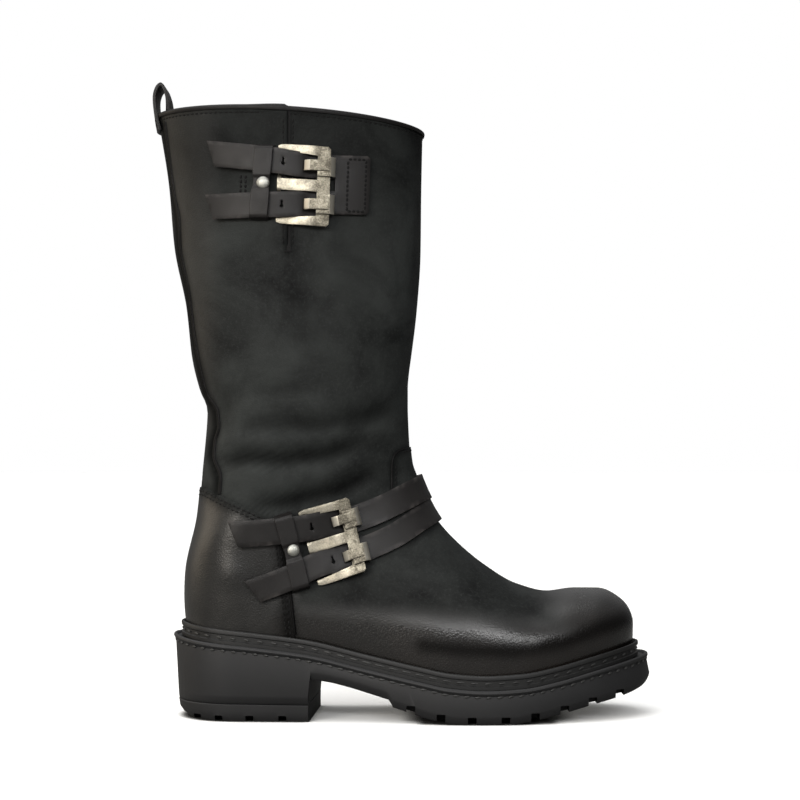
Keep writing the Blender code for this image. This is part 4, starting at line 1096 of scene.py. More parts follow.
def satin_nickel():
    """Satin-plated rivet cap: cool silver, softly blurred, with fine turning marks."""
    material, tree, shader, where = new_material("satin_nickel", Metallic=1.0)
    haze = add(tree, "ShaderNodeTexNoise", {
        "Vector": where, "Scale": per_mm(1.5), "Detail": 3.0,
    }).outputs["Fac"]
    colour = add(tree, "ShaderNodeMix", {
        MIX_FACTOR: haze, MIX_A: linear("#8f8f8a"), MIX_B: linear("#a8a8a1"),
    }, data_type="RGBA").outputs[MIX_COLOUR]
    tree.links.new(colour, shader.inputs["Base Color"])
    rough = add(tree, "ShaderNodeMapRange", {
        "Value": haze, "From Min": 0.3, "From Max": 0.7, "To Min": 0.42, "To Max": 0.54,
    }).outputs["Result"]
    tree.links.new(rough, shader.inputs["Roughness"])
    return material


def thread():
    """Waxed polyester thread: black, twisted, with a little shine."""
    material, tree, shader, where = new_material("waxed_thread", Specular_IOR_Level=0.2)
    twist = add(tree, "ShaderNodeTexNoise", {
        "Vector": where, "Scale": per_mm(0.5), "Detail": 2.0,
    }).outputs["Fac"]
    colour = add(tree, "ShaderNodeMix", {
        MIX_FACTOR: twist, MIX_A: linear("#030303"), MIX_B: linear("#0a0909"),
    }, data_type="RGBA").outputs[MIX_COLOUR]
    tree.links.new(colour, shader.inputs["Base Color"])
    rough = add(tree, "ShaderNodeMapRange", {
        "Value": twist, "From Min": 0.0, "From Max": 1.0, "To Min": 0.6, "To Max": 0.85,
    }).outputs["Result"]
    tree.links.new(rough, shader.inputs["Roughness"])
    return material


def studio_floor():
    """Matte white studio floor, with a breath of unevenness."""
    material, tree, shader, where = new_material("studio_floor")
    cloud = add(tree, "ShaderNodeTexNoise", {
        "Vector": where, "Scale": per_mm(400), "Detail": 2.0,
    }).outputs["Fac"]
    colour = add(tree, "ShaderNodeMix", {
        MIX_FACTOR: cloud, MIX_A: linear("#f8f8f7"), MIX_B: linear("#fcfcfb"),
    }, data_type="RGBA").outputs[MIX_COLOUR]
    # The floor is white to look at, but throws back less light than white would
    seen = add(tree, "ShaderNodeLightPath").outputs["Is Camera Ray"]
    # Painted shadow: in the tread's slots and close under the edge of the sole the floor is painted dark
    opening = add(tree, "ShaderNodeAmbientOcclusion", {"Distance": 9 * MM}, samples=8).outputs["AO"]
    painted_contact_shadow = add(tree, "ShaderNodeMapRange", {
        "Value": opening, "From Min": 0.3, "From Max": 0.7, "To Min": 1.0, "To Max": 0.0,
    }).outputs["Result"]
    ground = add(tree, "ShaderNodeMix", {
        MIX_FACTOR: painted_contact_shadow, MIX_A: colour, MIX_B: linear("#1c1c1b"),
    }, data_type="RGBA").outputs[MIX_COLOUR]
    shown = add(tree, "ShaderNodeMix", {
        MIX_FACTOR: seen, MIX_A: linear("#6c6c6a"), MIX_B: ground,
    }, data_type="RGBA").outputs[MIX_COLOUR]
    tree.links.new(shown, shader.inputs["Base Color"])
    # A trace of glow keeps the shadow under the arch as pale as on the photo's brightened ground
    lift = add(tree, "ShaderNodeMapRange", {
        "Value": painted_contact_shadow, "From Min": 0.0, "From Max": 1.0, "To Min": 0.08, "To Max": 0.0,
    }).outputs["Result"]
    glow = add(tree, "ShaderNodeMath", {0: seen, 1: lift}, operation="MULTIPLY").outputs[0]
    tree.links.new(glow, shader.inputs["Emission Strength"])
    shader.inputs["Emission Color"].default_value = linear("#fffdf6")
    shader.inputs["Roughness"].default_value = 0.9
    return material


NUBUCK = waxed_leather()
STRAP = smooth_leather("strap_leather", "#0f0d0d", "#191716", 0.40, 0.56, 0.24)
PIPING = smooth_leather("piping_leather", "#040404", "#080707", 0.45, 0.60, 0.1)
BINDING = smooth_leather("binding_leather", "#0a0909", "#121010", 0.42, 0.56, 0.2)
LINING = smooth_leather("lining_leather", "#1e1a17", "#2a2420", 0.62, 0.75, 0.3)
SOCK = smooth_leather("sock_leather", "#241d19", "#302722", 0.60, 0.72, 0.3)
RUBBER = moulded_rubber("sole_rubber", "#131314", "#1d1d1e", 0.52)
RAND = moulded_rubber("welt_rubber", "#0d0d0d", "#161616", 0.46)
STITCHED = moulded_rubber("stitch_rubber", "#242424", "#353534", 0.4)
NICKEL = antique_nickel()
RIVET = satin_nickel()
THREAD = thread()


# Upper: one skin from the toe to the collar, with its creases, a lining inside and panels laid on it


def skin_rows():
    """Row numbers of the skin: the tabled sections, with more between those that lie far apart."""
    rows = []
    for i, (here, there) in enumerate(zip(SECTIONS, SECTIONS[1:])):
        front = math.hypot(there.front_x - here.front_x, there.front_z - here.front_z)
        back = math.hypot(there.back_x - here.back_x, there.back_rise - here.back_rise)
        steps = max(1, round(max(front, SKIN_BACK_SHARE * back) / SKIN_STEP))
        rows += [i + k / steps for k in range(steps)]
    return rows + [COLLAR_ROW]


def off_segment(x, z, a, b):
    """How far a point of the side view lies from a stretch of line, and its share along it."""
    run = (b[0] - a[0], b[1] - a[1])
    length = math.hypot(*run)
    along = ((x - a[0]) * run[0] + (z - a[1]) * run[1]) / length
    held = min(max(along, 0.0), length)
    gap = math.hypot(x - a[0] - run[0] * held / length, z - a[1] - run[1] * held / length)
    return gap, along / length


def crease_depth(x, z, side):
    """How far the leather lies below its smooth shape, in troughs between soft ridges."""
    total = 0.0
    for crease in CREASES:
        if side not in crease.sides:
            continue
        last = len(crease.path) - 2
        nearest = math.inf
        fade = 1.0
        for i, (a, b) in enumerate(zip(crease.path, crease.path[1:])):
            gap, share = off_segment(x, z, a, b)
            if gap < nearest:
                nearest = gap
                start = smooth_step(CREASE_END + share) if i == 0 else 1.0
                end = smooth_step(1 + CREASE_END - share) if i == last else 1.0
                fade = min(start, end)
        off = nearest / crease.width
        ridge = RIDGE_HEIGHT * math.exp(-((off - RIDGE_PLACE) ** 2))
        total += crease.depth * fade * (math.exp(-off * off) - ridge)
    return total


def rising(value, fade):
    """From 0 to 1 as the value goes up past the fade's start."""
    return smooth_step((value - fade.start) / fade.reach)


def falling(value, fade):
    """From 1 to 0 as the value goes up to the fade's start."""
    return smooth_step((fade.start - value) / fade.reach)


def burnish_at(x, y, z):
    """How far the leather is rubbed to a satin: at the toe, low on the vamp, on the quarter, up the back."""
    low_top = LOW_RUB.start + LOW_RUB_SLOPE * (LOW_RUB_X - x)
    low = falling(z, Fade(low_top, LOW_RUB.reach)) if x > LOW_RUB_BACK else 0.0
    back, front = QUARTER_TOP_LINE
    slope = (front.z - back.z) / (front.x - back.x)
    quarter_top = back.z + slope * max(x - back.x, 0.0)
    heel_top = Fade(quarter_top - HEEL_RUB_DROP, HEEL_RUB_REACH)
    heel = HEEL_RUB * falling(x, HEEL_RUB_FRONT) * falling(z, heel_top)
    spine = SPINE_RUB * falling(x, SPINE_RUB_FRONT) * rising(z, SPINE_RUB_BOTTOM)
    return max(rising(x, TOE_RUB), low, heel, spine)


def painted_shade_at(x, z, side):
    """How dark the leather is painted: painted shade in the bands near it, and darker towards the collar."""
    tone = COLLAR_TONE * rising(z, COLLAR_FADE)
    for band in SHADE_BANDS:
        if side in band.sides:
            gap = min(off_segment(x, z, a, b)[0] for a, b in zip(band.path, band.path[1:]))
            tone = max(tone, band.tone * (1 - smooth_step(gap / band.width)))
    return tone


def build_skin():
    """The skin, kept open and one face thick, for the pieces that are made from it."""
    rows = skin_rows()
    half = SKIN_COLUMNS_PER_SIDE
    skin = sheet("skin", 2 * half, len(rows) - 1, lambda i, j: upper_point(rows[j], i / half - 1))
    weld(skin, 0.05)
    soften_heel(skin)
    mesh = skin.data
    outermost = max(mesh.polygons, key=lambda face: face.center.y)
    if outermost.normal.y < 0:
        mesh.flip_normals()
    return skin


def soften_heel(skin):
    """Smooths the corner where the foot's rows and the leg's rows meet, and leaves the edge where it is."""
    work = bmesh.new()
    work.from_mesh(skin.data)
    corner = []
    for vert in work.verts:
        x, _, z = unplace(vert.co)
        if x < HEEL_CORNER.x and z < HEEL_CORNER.z and not vert.is_boundary:
            corner.append(vert)
    for _ in range(HEEL_SOFTENING):
        bmesh.ops.smooth_vert(
            work, verts=corner, factor=0.5, use_axis_x=True, use_axis_y=True, use_axis_z=True,
        )
    work.to_mesh(skin.data)
    work.free()


def wrinkle_at(x, y, z):
    """Where fine wrinkles gather: before the buckle, at the flex of the toes and in the ankle's folds."""
    depths = [ANKLE_WRINKLES.depth * math.exp(-(((z - ANKLE_WRINKLES.z) / ANKLE_WRINKLES.height) ** 2))]
    for spot in WRINKLES:
        off = ((x - spot.x) / spot.length) ** 2 + ((z - spot.z) / spot.height) ** 2
        depths.append(spot.depth * math.exp(-off))
    return max(depths)


def crease_skin(skin):
    """Presses the creases into a copy of the skin, and notes where it is burnished and where shade is painted
    on it.
    """
    creased = copy_of(skin, "creased_skin")
    painted_shades = []
    for vert, normal in zip(creased.data.vertices, skin.data.vertex_normals):
        x, y, z = unplace(vert.co)
        side = LATERAL if y < axis_y(x) else MEDIAL
        # Both sides meet softly along the middle line
        depth = crease_depth(x, z, side) * smooth_step(abs(y - axis_y(x)) / CREASE_MIDDLE)
        # Painted shade: darker the deeper the crease, and in bands along seams and panel edges; the leather
        # also darkens towards the collar
        painted_shades.append(max(min(depth * CREASE_SHADE, DARKEST_CREASE_SHADE), painted_shade_at(x, z, side)))
        vert.co -= Vector(normal.vector) * depth * MM
    creased.data.update()
    attribute(creased, "burnish", burnish_at)
    attribute(creased, "wrinkle", wrinkle_at)
    note(creased, "hollow", painted_shades)
    return creased


def build_upper(creased):
    """The upper's shell: leather outside, lining inside."""
    upper = copy_of(creased, "boot_upper")
    apply(
        upper, "SOLIDIFY", thickness=WALL * MM, offset=-1, use_even_offset=True, use_rim=True,
        material_offset=1, material_offset_rim=0,
    )
    smooth(upper, 60)
    indices = [face.material_index for face in upper.data.polygons]
    finish(upper, [NUBUCK, LINING], "upper_leather", "upper")
    upper.data.polygons.foreach_set("material_index", indices)


def side_plane(a, b):
    """A plane through two points of the side view, with its normal to the left of the way from a to b."""
    run = Vector((b.x - a.x, 0, b.z - a.z)).normalized()
    return place(a.x, 0, a.z), Vector((-run.z, 0, run.x))


def build_panel(creased, name, planes, proud):
    """A leather panel sewn onto the upper: a copy of the skin, trimmed by planes and given a thickness."""
    panel = copy_of(creased, name)
    for at, normal in planes:
        trim(panel, at, normal, fill=False)
    thickness = proud + PANEL_SUNK
    apply(panel, "SOLIDIFY", thickness=thickness * MM, offset=2 * proud / thickness - 1, use_rim=True)
    round_edges(panel, PANEL_ROUND, 2, 50)
    finish(panel, NUBUCK, "upper_leather")


def quarter_planes():
    """The planes that trim the heel's quarter: its level top, its sloping top and its front."""
    back, front = QUARTER_TOP_LINE
    level = (place(0, 0, back.z), Vector((0, 0, 1)))
    return [level, side_plane(back, front), side_plane(*QUARTER_FRONT_LINE)]


def tab_planes():
    """The planes that trim the tab at the ankle's front: top, side, bottom and its rounded corner."""
    low = TAB_EDGE[0]
    planes = [
        side_plane(*TAB_TOP_LINE),
        (place(low.x, 0, 0), Vector((-1, 0, 0))),
        (place(0, 0, low.z), Vector((0, 0, -1))),
    ]
    for spot, way in zip(TAB_EDGE[2:], TAB_CORNER_WAYS):
        planes.append((place(spot.x, 0, spot.z), Vector((way.x, 0, way.z))))
    return planes


def build_slit_lap(surface):
    """The lap of the shaft's side slit: the back panel's edge, raised over the front one."""
    columns, rows = 24, SLIT_ROWS
    start = SLIT_X - SLIT_RAMP

    def point(i, j):
        x = start + (SLIT_X - start) * i / columns
        z = SLIT_BOTTOM_Z + (LAP_TOP_Z - SLIT_BOTTOM_Z) * j / rows
        hit, normal = on_side(surface, x, z, LATERAL)
        rise = SLIT_LAP * smooth_step((x - start) / SLIT_RAMP) * smooth_step((z - SLIT_BOTTOM_Z) / LAP_FOOT)
        return hit + normal * (rise - LAP_SUNK) * MM

    lap = thicken_outer(sheet("shaft_slit_lap", columns, rows, point), LAP_THICKNESS)
    round_edges(lap, LAP_ROUND, 2, 50)
    attribute(lap, "burnish", burnish_at)
    # Painted shade along the slit, as on the skin
    attribute(lap, "hollow", lambda x, y, z: painted_shade_at(x, z, LATERAL))
    finish(lap, NUBUCK, "upper_leather")


def build_slit_shade_strip(surface):
    """A black strip laid in the slit, beside the lap's edge, as painted shade for the slit's dark gap."""
    columns, rows = 4, SLIT_ROWS

    def point(i, j):
        z = SLIT_BOTTOM_Z + (SHADE_STRIP_TOP_Z - SLIT_BOTTOM_Z) * j / rows
        hit, normal = on_side(surface, SLIT_X - SHADE_STRIP_TUCK + SHADE_STRIP_WIDTH * i / columns, z, LATERAL)
        return hit + normal * SHADE_STRIP_PROUD * MM

    shade_strip = thicken_outer(sheet("shaft_slit_gusset", columns, rows, point), SHADE_STRIP_THICKNESS)
    finish(smooth(shade_strip), THREAD, "upper_leather")


def on_side(surface, x, z, side):
    """The point and the outward normal of the upper's side at x and z."""
    hit, normal, _, _ = surface.ray_cast(place(x, FAR_OUT * side, z), Vector((0, -side, 0)))
    return hit, normal if normal.y * side > 0 else -normal


# Lines on the upper: seams, piping and stitches


def cut_lines(surface_mesh, plane, keep):
    """The lines in which a plane cuts a mesh, as lists of points with normals, where keep holds."""
    at, normal = plane
    work = bmesh.new()
    work.from_mesh(surface_mesh)
    result = bmesh.ops.bisect_plane(
        work, geom=work.verts[:] + work.edges[:] + work.faces[:], plane_co=at, plane_no=normal, dist=1e-7,
    )
    work.normal_update()
    cut_edges = {e for e in result["geom_cut"] if isinstance(e, bmesh.types.BMEdge)}
    cut_edges = {e for e in cut_edges if all(keep(*unplace(v.co)) for v in e.verts)}
    lines = []
    while cut_edges:
        edge = cut_edges.pop()
        chain = list(edge.verts)
        for end in (0, -1):
            growing = True
            while growing:
                growing = False
                for other in chain[end].link_edges:
                    if other in cut_edges:
                        cut_edges.discard(other)
                        follower = other.other_vert(chain[end])
                        chain.insert(0 if end == 0 else len(chain), follower)
                        growing = True
                        break
        lines.append([(vert.co.copy(), vert.normal.copy()) for vert in chain])
    work.free()
    return lines


def along_line(line, pitch):
    """Points at an even pitch along a line of points and normals, each with its direction and normal."""
    lengths = lengths_along([point for point, _ in line], span)
    found = []
    for k in range(int(lengths[-1] / pitch)):
        at = (k + 0.5) * pitch
        i = min(max(bisect.bisect_left(lengths, at) - 1, 0), len(line) - 2)
        share = (at - lengths[i]) / max(lengths[i + 1] - lengths[i], 1e-6)
        point = line[i][0].lerp(line[i + 1][0], share)
        normal = line[i][1].lerp(line[i + 1][1], share).normalized()
        found.append((point, (line[i + 1][0] - line[i][0]).normalized(), normal))
    return found


def stitch_shape(size):
    """One stitch, lying along x: a low rounded bar."""
    shape = primitive(
        "stitch", bpy.ops.mesh.primitive_uv_sphere_add, segments=8, ring_count=5, radius=0.5,
        rotation=(0, math.pi / 2, 0),
    )
    edit(shape, lambda: bpy.ops.transform.resize(value=(size.length, size.width, size.height)))
    verts = [vert.co.copy() for vert in shape.data.vertices]
    faces = [list(face.vertices) for face in shape.data.polygons]
    bpy.data.objects.remove(shape)
    return verts, faces


def stitches(name, spots, size, slot, material, raised=0.0, tilt_deg=0.0):
    """Copies of one stitch, joined as a mesh, at spots with their directions and normals."""
    verts, faces = stitch_shape(size)
    tilt = math.radians(tilt_deg)
    points = []
    polygons = []
    for spot, ahead, normal in spots:
        across = normal.cross(ahead).normalized()
        forward = across.cross(normal)
        first = len(points)
        turned = forward * math.cos(tilt) + across * math.sin(tilt)
        beside = across * math.cos(tilt) - forward * math.sin(tilt)
        for v in verts:
            points.append(spot + (turned * v.x + beside * v.y + normal * (v.z + raised)) * MM)
        polygons += [[first + k for k in face] for face in faces]
    mesh = bpy.data.meshes.new(name)
    mesh.from_pydata(points, [], polygons)
    mesh.update()
    finish(smooth(into_scene(name, mesh), 80), material, slot)


def sew(name, lines, size, slot, raised=0.0):
    """Rows of thread stitches along lines, as one mesh."""
    spots = [spot for line in lines for spot in along_line(line, size.pitch)]
    stitches(name, spots, size, slot, THREAD, raised)


def shifted(plane, distance):
    """A plane moved against its normal."""
    at, normal = plane
    return at - normal * distance * MM, normal


def side_line(surface, path, side, raised=0.0):
    """A line on the upper's side through points of the side view."""
    lengths = lengths_along(path, side_span)
    x_at = smooth_curve(lengths, [spot.x for spot in path])
    z_at = smooth_curve(lengths, [spot.z for spot in path])
    count = max(2, round(lengths[-1] / SIDE_LINE_STEP))
    line = []
    for k in range(count + 1):
        along = lengths[-1] * k / count
        hit, normal = on_side(surface, x_at(along), z_at(along), side)
        line.append((hit + normal * raised * MM, normal))
    return line


def tube(name, points, radius, material, slot):
    """A thin cord along points, as a mesh with closed ends."""
    curve = bpy.data.curves.new(name, "CURVE")
    curve.dimensions = "3D"
    curve.bevel_depth = radius * MM
    curve.bevel_resolution = 2
    curve.use_fill_caps = True
    spline = curve.splines.new("POLY")
    spline.points.add(len(points) - 1)
    for spot, point in zip(spline.points, points):
        spot.co = (*point, 1.0)
    only(into_scene(name, curve))
    bpy.ops.object.convert(target="MESH")
    cord = titled(bpy.context.object, name)
    weld(cord, 0.01)
    finish(smooth(cord, 60), material, slot)


def quarter_lines(mesh):
    """Two rows along the quarter's edges, each of them along its slope, its level top and its front."""
    level, slope, front = quarter_planes()
    bend = QUARTER_TOP_LINE[0].x
    low, high = QUARTER_ROWS_Z
    lines = []
    for inset in (ROW_INSET, ROW_INSET + ROW_GAP):
        meet = QUARTER_ROWS_MEET * inset
        end = QUARTER_FRONT_LINE[0].x - QUARTER_ROWS_END
        lines += cut_lines(mesh, shifted(slope, inset), lambda x, y, z: bend - meet < x < end)
        lines += cut_lines(mesh, shifted(level, inset), lambda x, y, z: x < bend + meet)
        lines += cut_lines(mesh, shifted(front, inset), lambda x, y, z: low < z < high - inset)
    return lines


def tab_lines(mesh):
    """A row along the tab's sides and one along its top."""
    top, side = tab_planes()[:2]
    lines = cut_lines(mesh, shifted(side, ROW_INSET), lambda x, y, z: TAB_EDGE[0].z < z < TAB_ROW_TOP_Z)
    return lines + cut_lines(mesh, shifted(top, ROW_INSET), lambda x, y, z: x > TAB_ROW_BACK_X)


def slit_spots(surface):
    """Stitches down both sides of the slit, and a tack across its foot."""
    spots = []
    for row in SLIT_STITCH_ROWS:
        x = SLIT_X + row.offset
        path = [SidePoint(x, SLIT_STITCH_TOP_Z), SidePoint(x, SLIT_BOTTOM_Z + 1)]
        spots += along_line(side_line(surface, path, LATERAL, row.raised), UPPER_STITCH.pitch)
    tack = [SidePoint(SLIT_X + row.offset, SLIT_BOTTOM_Z) for row in SLIT_STITCH_ROWS]
    return spots + along_line(side_line(surface, tack, LATERAL), SLIT_TACK_PITCH)


def collar_line(surface):
    """A line on the upper, close under the binding."""
    line = []
    for k in range(2 * COLLAR_STEPS + 1):
        spot = upper_point(COLLAR_ROW - COLLAR_STITCH_DROP, k / COLLAR_STEPS - 1)
        hit, normal, _, _ = surface.find_nearest(spot)
        outward = spot - place(LEG_MIDDLE_X, 0, unplace(spot)[2])
        line.append((hit, normal if normal.dot(outward) > 0 else -normal))
    return line


def build_seams(creased, surface):
    """Rows of stitches along the panels' edges, the slit and the collar, and piping in the seams; along the
    quarter's front edge a black cord stands in for a shadow line, as painted shadow.
    """
    leather = "upper_leather"
    sew("quarter_stitches", quarter_lines(creased.data), UPPER_STITCH, leather, QUARTER_PROUD)
    sew("tab_stitches", tab_lines(creased.data), UPPER_STITCH, leather, TAB_PROUD)
    stitches("slit_stitches", slit_spots(surface), UPPER_STITCH, leather, THREAD)
    sew("collar_stitches", [collar_line(surface)], UPPER_STITCH, leather)
    for side, side_name in ((LATERAL, "outer"), (MEDIAL, "inner")):
        for piping in PIPINGS:
            points = [point for point, _ in side_line(surface, piping.path, side, piping.raised)]
            tube(f"{piping.seam}_piping_{side_name}", points, piping.radius, PIPING, leather)


# Collar binding and pull loop


def collar_frame(turn):
    """The collar's edge at a turn, with the way out from the leather and the way up it."""
    near = 0.004
    spot = upper_point(COLLAR_ROW, turn)
    ahead = upper_point(COLLAR_ROW, min(turn + near, 1.0)) - upper_point(COLLAR_ROW, max(turn - near, -1.0))
    up = (spot - upper_point(COLLAR_ROW - 0.15, turn)).normalized()
    return spot, ahead.cross(up).normalized(), up


def build_binding():
    """The rolled binding: leather folded over the collar's edge, lapped where the side slit is."""
    around, rim = 288, 20
    half = WALL / 2
    bulge = half + BINDING_BULGE
    roll_start, roll_end = BINDING_ROLL

    def section(share):
        # Down the outer flap, over the roll and down the inner flap
        if share < roll_start:
            up_flap = 1 - share / roll_start
            return bulge - BINDING_TUCK * up_flap**2, -BINDING_DROP * up_flap
        if share <= roll_end:
            angle = (share - roll_start) / (roll_end - roll_start) * math.pi
            return bulge * math.cos(angle), BINDING_TOP * math.sin(angle)
        down_flap = (share - roll_end) / (1 - roll_end)
        return -bulge + BINDING_TUCK * down_flap**2, -BINDING_DROP * down_flap

    def point(i, j):
        turn = 2 * (i % around) / around - 1
        spot, out, up = collar_frame(turn)
        x = unplace(spot)[0]
        lapped = turn < 0 and x < SLIT_X
        lap = BINDING_LAP * rising(x, LAP_RISE) if lapped else 0.0
        n, rise = section(j / rim)
        grow = LAP_GROWTH * lap * max(rise + BINDING_DROP, 0) / (BINDING_DROP + BINDING_TOP)
        return spot + (out * (n - half + LAP_SHIFT * lap) + up * (rise + grow)) * MM

    binding = weld(sheet("collar_binding_roll", around, rim, point), 0.01)
    smooth(thicken(binding, BINDING_THICKNESS), 50)
    finish(binding, BINDING, "strap_leather", "collar_binding")


def build_pull_loop():
    """The pull loop: a strip sewn to the back seam, up over the collar and down inside the shaft."""
    lengths = lengths_along(LOOP_ROUTE, side_span)
    x_at, z_at, bow_at = (
        smooth_curve(lengths, [getattr(spot, name) for spot in LOOP_ROUTE]) for name in LoopPoint._fields
    )
    steps, across = 90, 12

    def spot_at(along, y):
        return place(x_at(along) + bow_at(along) * (2 * y / LOOP_WIDTH) ** 2, y, z_at(along))

    def point(i, j):
        return spot_at(lengths[-1] * j / steps, LOOP_WIDTH * (i / across - 0.5))

    loop = sheet("pull_loop_strip", across, steps, point)
    if loop.data.polygons[across // 2].normal.x > 0:
        loop.data.flip_normals()
    thicken(loop, LOOP_THICKNESS)
    round_edges(loop, LOOP_ROUND, 3, 50)
    finish(loop, STRAP, "strap_leather", "pull_loop")
    first, last = LOOP_SEAM
    count, step = 59, 0.5
    lines = []
    for y in (-LOOP_WIDTH / 2 + LOOP_SEAM_INSET, LOOP_WIDTH / 2 - LOOP_SEAM_INSET):
        line = []
        for k in range(count + 1):
            along = first + (last - first) * k / count
            ahead = x_at(along + step) - x_at(along - step)
            upward = z_at(along + step) - z_at(along - step)
            line.append((spot_at(along, y), Vector((-upward, 0, ahead)).normalized()))
        lines.append(line)
    sew("pull_loop_stitches", lines, UPPER_STITCH, "strap_leather", LOOP_SEAM_RAISED)


# Sole


def skew(side, x, margin):
    """How far the sole near the heel's breast moves, so that the breast stands upright and runs askew."""
    fade = smooth_step(1 - abs(x - BREAST) / SKEW_REACH)
    share = min(half_width(side, x, margin) / LAST_WIDTHS[0].lateral, 1.0)
    lean = BREAST_X - station_x(BREAST, margin)
    return (side * share * BREAST_SKEW + lean) * fade


def lift_top(x):
    """Height of the line between the heel's top piece and the heel block."""
    return HEEL_LIFT_BACK + (HEEL_LIFT_FRONT - HEEL_LIFT_BACK) * x / BREAST_X


def sole_underside(x):
    """Height of the moulded unit's underside: over the heel's top piece, then waist, then tread."""
    if x <= BREAST_SWITCH:
        return lift_top(x) + LIFT_GAP
    return WAIST_Z(x) if x < TREAD_START - TREAD_LEAD else TREAD_Z(x)


def levels_on(table, base, skewed):
    """The levels of a ladder that are counted from one base line."""
    return [
        (Margin(row.back, row.side, row.tip), lambda x, rise=row.rise: base(x) + rise, skewed)
        for row in table
    ]


def ladder(name, levels, stations):
    """A closed sole layer: a loop through the levels at each station, up one side and down the other."""
    count = len(levels)

    def point(i, j):
        i = i % (2 * count)
        side = LATERAL if i < count else MEDIAL
        margin, height, skewed = levels[i if i < count else 2 * count - 1 - i]
        x, y = outline_point(side, stations[j], margin)
        shift = skew(side, x, margin) if skewed else 0.0
        return place(x + shift, y, height(x))

    layer = weld(sheet(name, 2 * count, len(stations) - 1, point), 0.02)
    return edit(
        layer,
        lambda: bpy.ops.mesh.fill_holes(sides=0),
        lambda: bpy.ops.mesh.normals_make_consistent(inside=False),
    )


def sole_stations(*bends):
    """Stations along the sole from the first bend to the last, closer together at heel and toe."""
    stations = set(bends)
    for a, b in zip(bends, bends[1:]):
        count = max(1, round((b - a) / SOLE_STEP))
        stations |= {a + (b - a) * k / count for k in range(count + 1)}
    for gap in END_GAPS:
        stations |= {gap, SOLE_LENGTH - gap}
    return sorted(s for s in stations if bends[0] <= s <= bends[-1])


def slots(places, lug, underside):
    """Square slots that run in from both edges of the tread."""
    tools = []
    for x in places:
        reach = max(lug.reach / (1 + underside(x) / SLOT_CURL), SLOT_SHORTEST)
        for side in BOTH:
            inner = axis_y(x) + side * max(half_width(side, x, ON_LAST) - reach, SLOT_INNERMOST)
            ends = sorted((inner, side * SLOT_PAST_EDGE))
            low = place(x - lug.width / 2, ends[0], underside(x) - SLOT_PAST_TREAD)
            high = place(x + lug.width / 2, ends[1], underside(x) + lug.depth)
            tools.append(round_edges(block("slot", low, high), SLOT_ROUND, 2, 60))
    return tools


def build_outsole():
    """The moulded unit: forefoot, waist and heel block in one, with a rolled bead along its top edge."""
    levels = levels_on(FOOT_LEVELS, sole_underside, True) + levels_on(BEAD_LEVELS, BEAD_Z, False)
    stations = sole_stations(0, BREAST, BREAST + BREAST_SLOPE, WAIST_END, TREAD_START, SOLE_LENGTH)
    outsole = ladder("outsole_unit", levels, stations)
    cut(outsole, *slots(FOREFOOT_LUGS_X, LUG, TREAD_Z))
    finish(smooth(outsole, 32), RUBBER, "sole_rubber", "outsole")


def build_heel_lift():
    """The heel's top piece, which stands on the floor."""
    levels = levels_on(LIFT_FOOT_LEVELS, lambda x: 0.0, True) + levels_on(LIFT_TOP_LEVELS, lift_top, True)
    lift = ladder("heel_top_piece", levels, sole_stations(0, BREAST))
    cut(lift, *slots(HEEL_LUGS_X, HEEL_LUG, lambda x: 0.0))
    finish(smooth(lift, 32), RUBBER, "sole_rubber", "heel_lift")


def sole_ring(steps):
    """Side and station all the way round the sole, closer together at heel and toe."""
    stations = [SOLE_LENGTH * (1 - math.cos(math.pi * k / steps)) / 2 for k in range(steps + 1)]
    return [(LATERAL, s) for s in stations] + [(MEDIAL, s) for s in reversed(stations[1:-1])]


def welt_feet(surface):
    """All round the sole: a point outside it, the way in, and how far in the welt meets the upper."""
    feet = []
    for side, station in sole_ring(WELT_STEPS):
        outside = Vector((*outline_point(side, station, WELT_OUTSIDE), 0))
        inside = Vector((*outline_point(side, station, WELT_INSIDE), 0))
        inward = (inside - outside).normalized()
        foot = ledge_z(outline_point(side, station, ON_LAST)[0])
        reach = []
        for share in WELT_FEELERS:
            start = place(outside.x, outside.y, foot + WELT_HEIGHT * share)
            hit = surface.ray_cast(start, inward, FEELER_LENGTH * MM)
            reach.append((hit[0] - start).length / MM)
        feet.append((outside, inward, min(reach) - WELT_GAP))
    return feet


def build_welt(surface):
    """The rand: a band round the foot of the upper with a rounded lip and a sewn groove in its face."""
    feet = welt_feet(surface)

    def on_welt(foot, spot):
        outside, inward, inner = foot
        at = outside + inward * (inner - spot.out)
        return place(at.x, at.y, ledge_z(at.x) + WELT_SEAT + spot.rise)

    def point(i, j):
        return on_welt(feet[i % len(feet)], WELT_PROFILE[j % len(WELT_PROFILE)])

    welt = weld(sheet("welt_band", len(feet), len(WELT_PROFILE), point), 0.01)
    finish(smooth(welt, 30), RAND, "welt_rubber", "welt")
    groove = [(on_welt(foot, WELT_GROOVE), -foot[1]) for foot in feet + feet[:1]]
    stitches("welt_stitches", along_line(groove, WELT_STITCH.pitch), WELT_STITCH, "welt_rubber", STITCHED)


def build_bead_stitches():
    """The slanted stitches that are moulded under the sole's bead."""
    line = []
    for side, station in sole_ring(BEAD_STEPS) + [(LATERAL, 0.0)]:
        x, y = outline_point(side, station, BEAD_FACE)
        far_x, far_y = outline_point(side, station, BEAD_FAR)
        normal = Vector((far_x - x, far_y - y, 0)).normalized()
        line.append((place(x, y, BEAD_Z(x) - BEAD_STITCH_DROP), normal))
    stitches(
        "bead_stitches", along_line(line, BEAD_STITCH.pitch), BEAD_STITCH, "sole_rubber", STITCHED,
        tilt_deg=BEAD_STITCH_TILT,
    )


# Straps and buckles


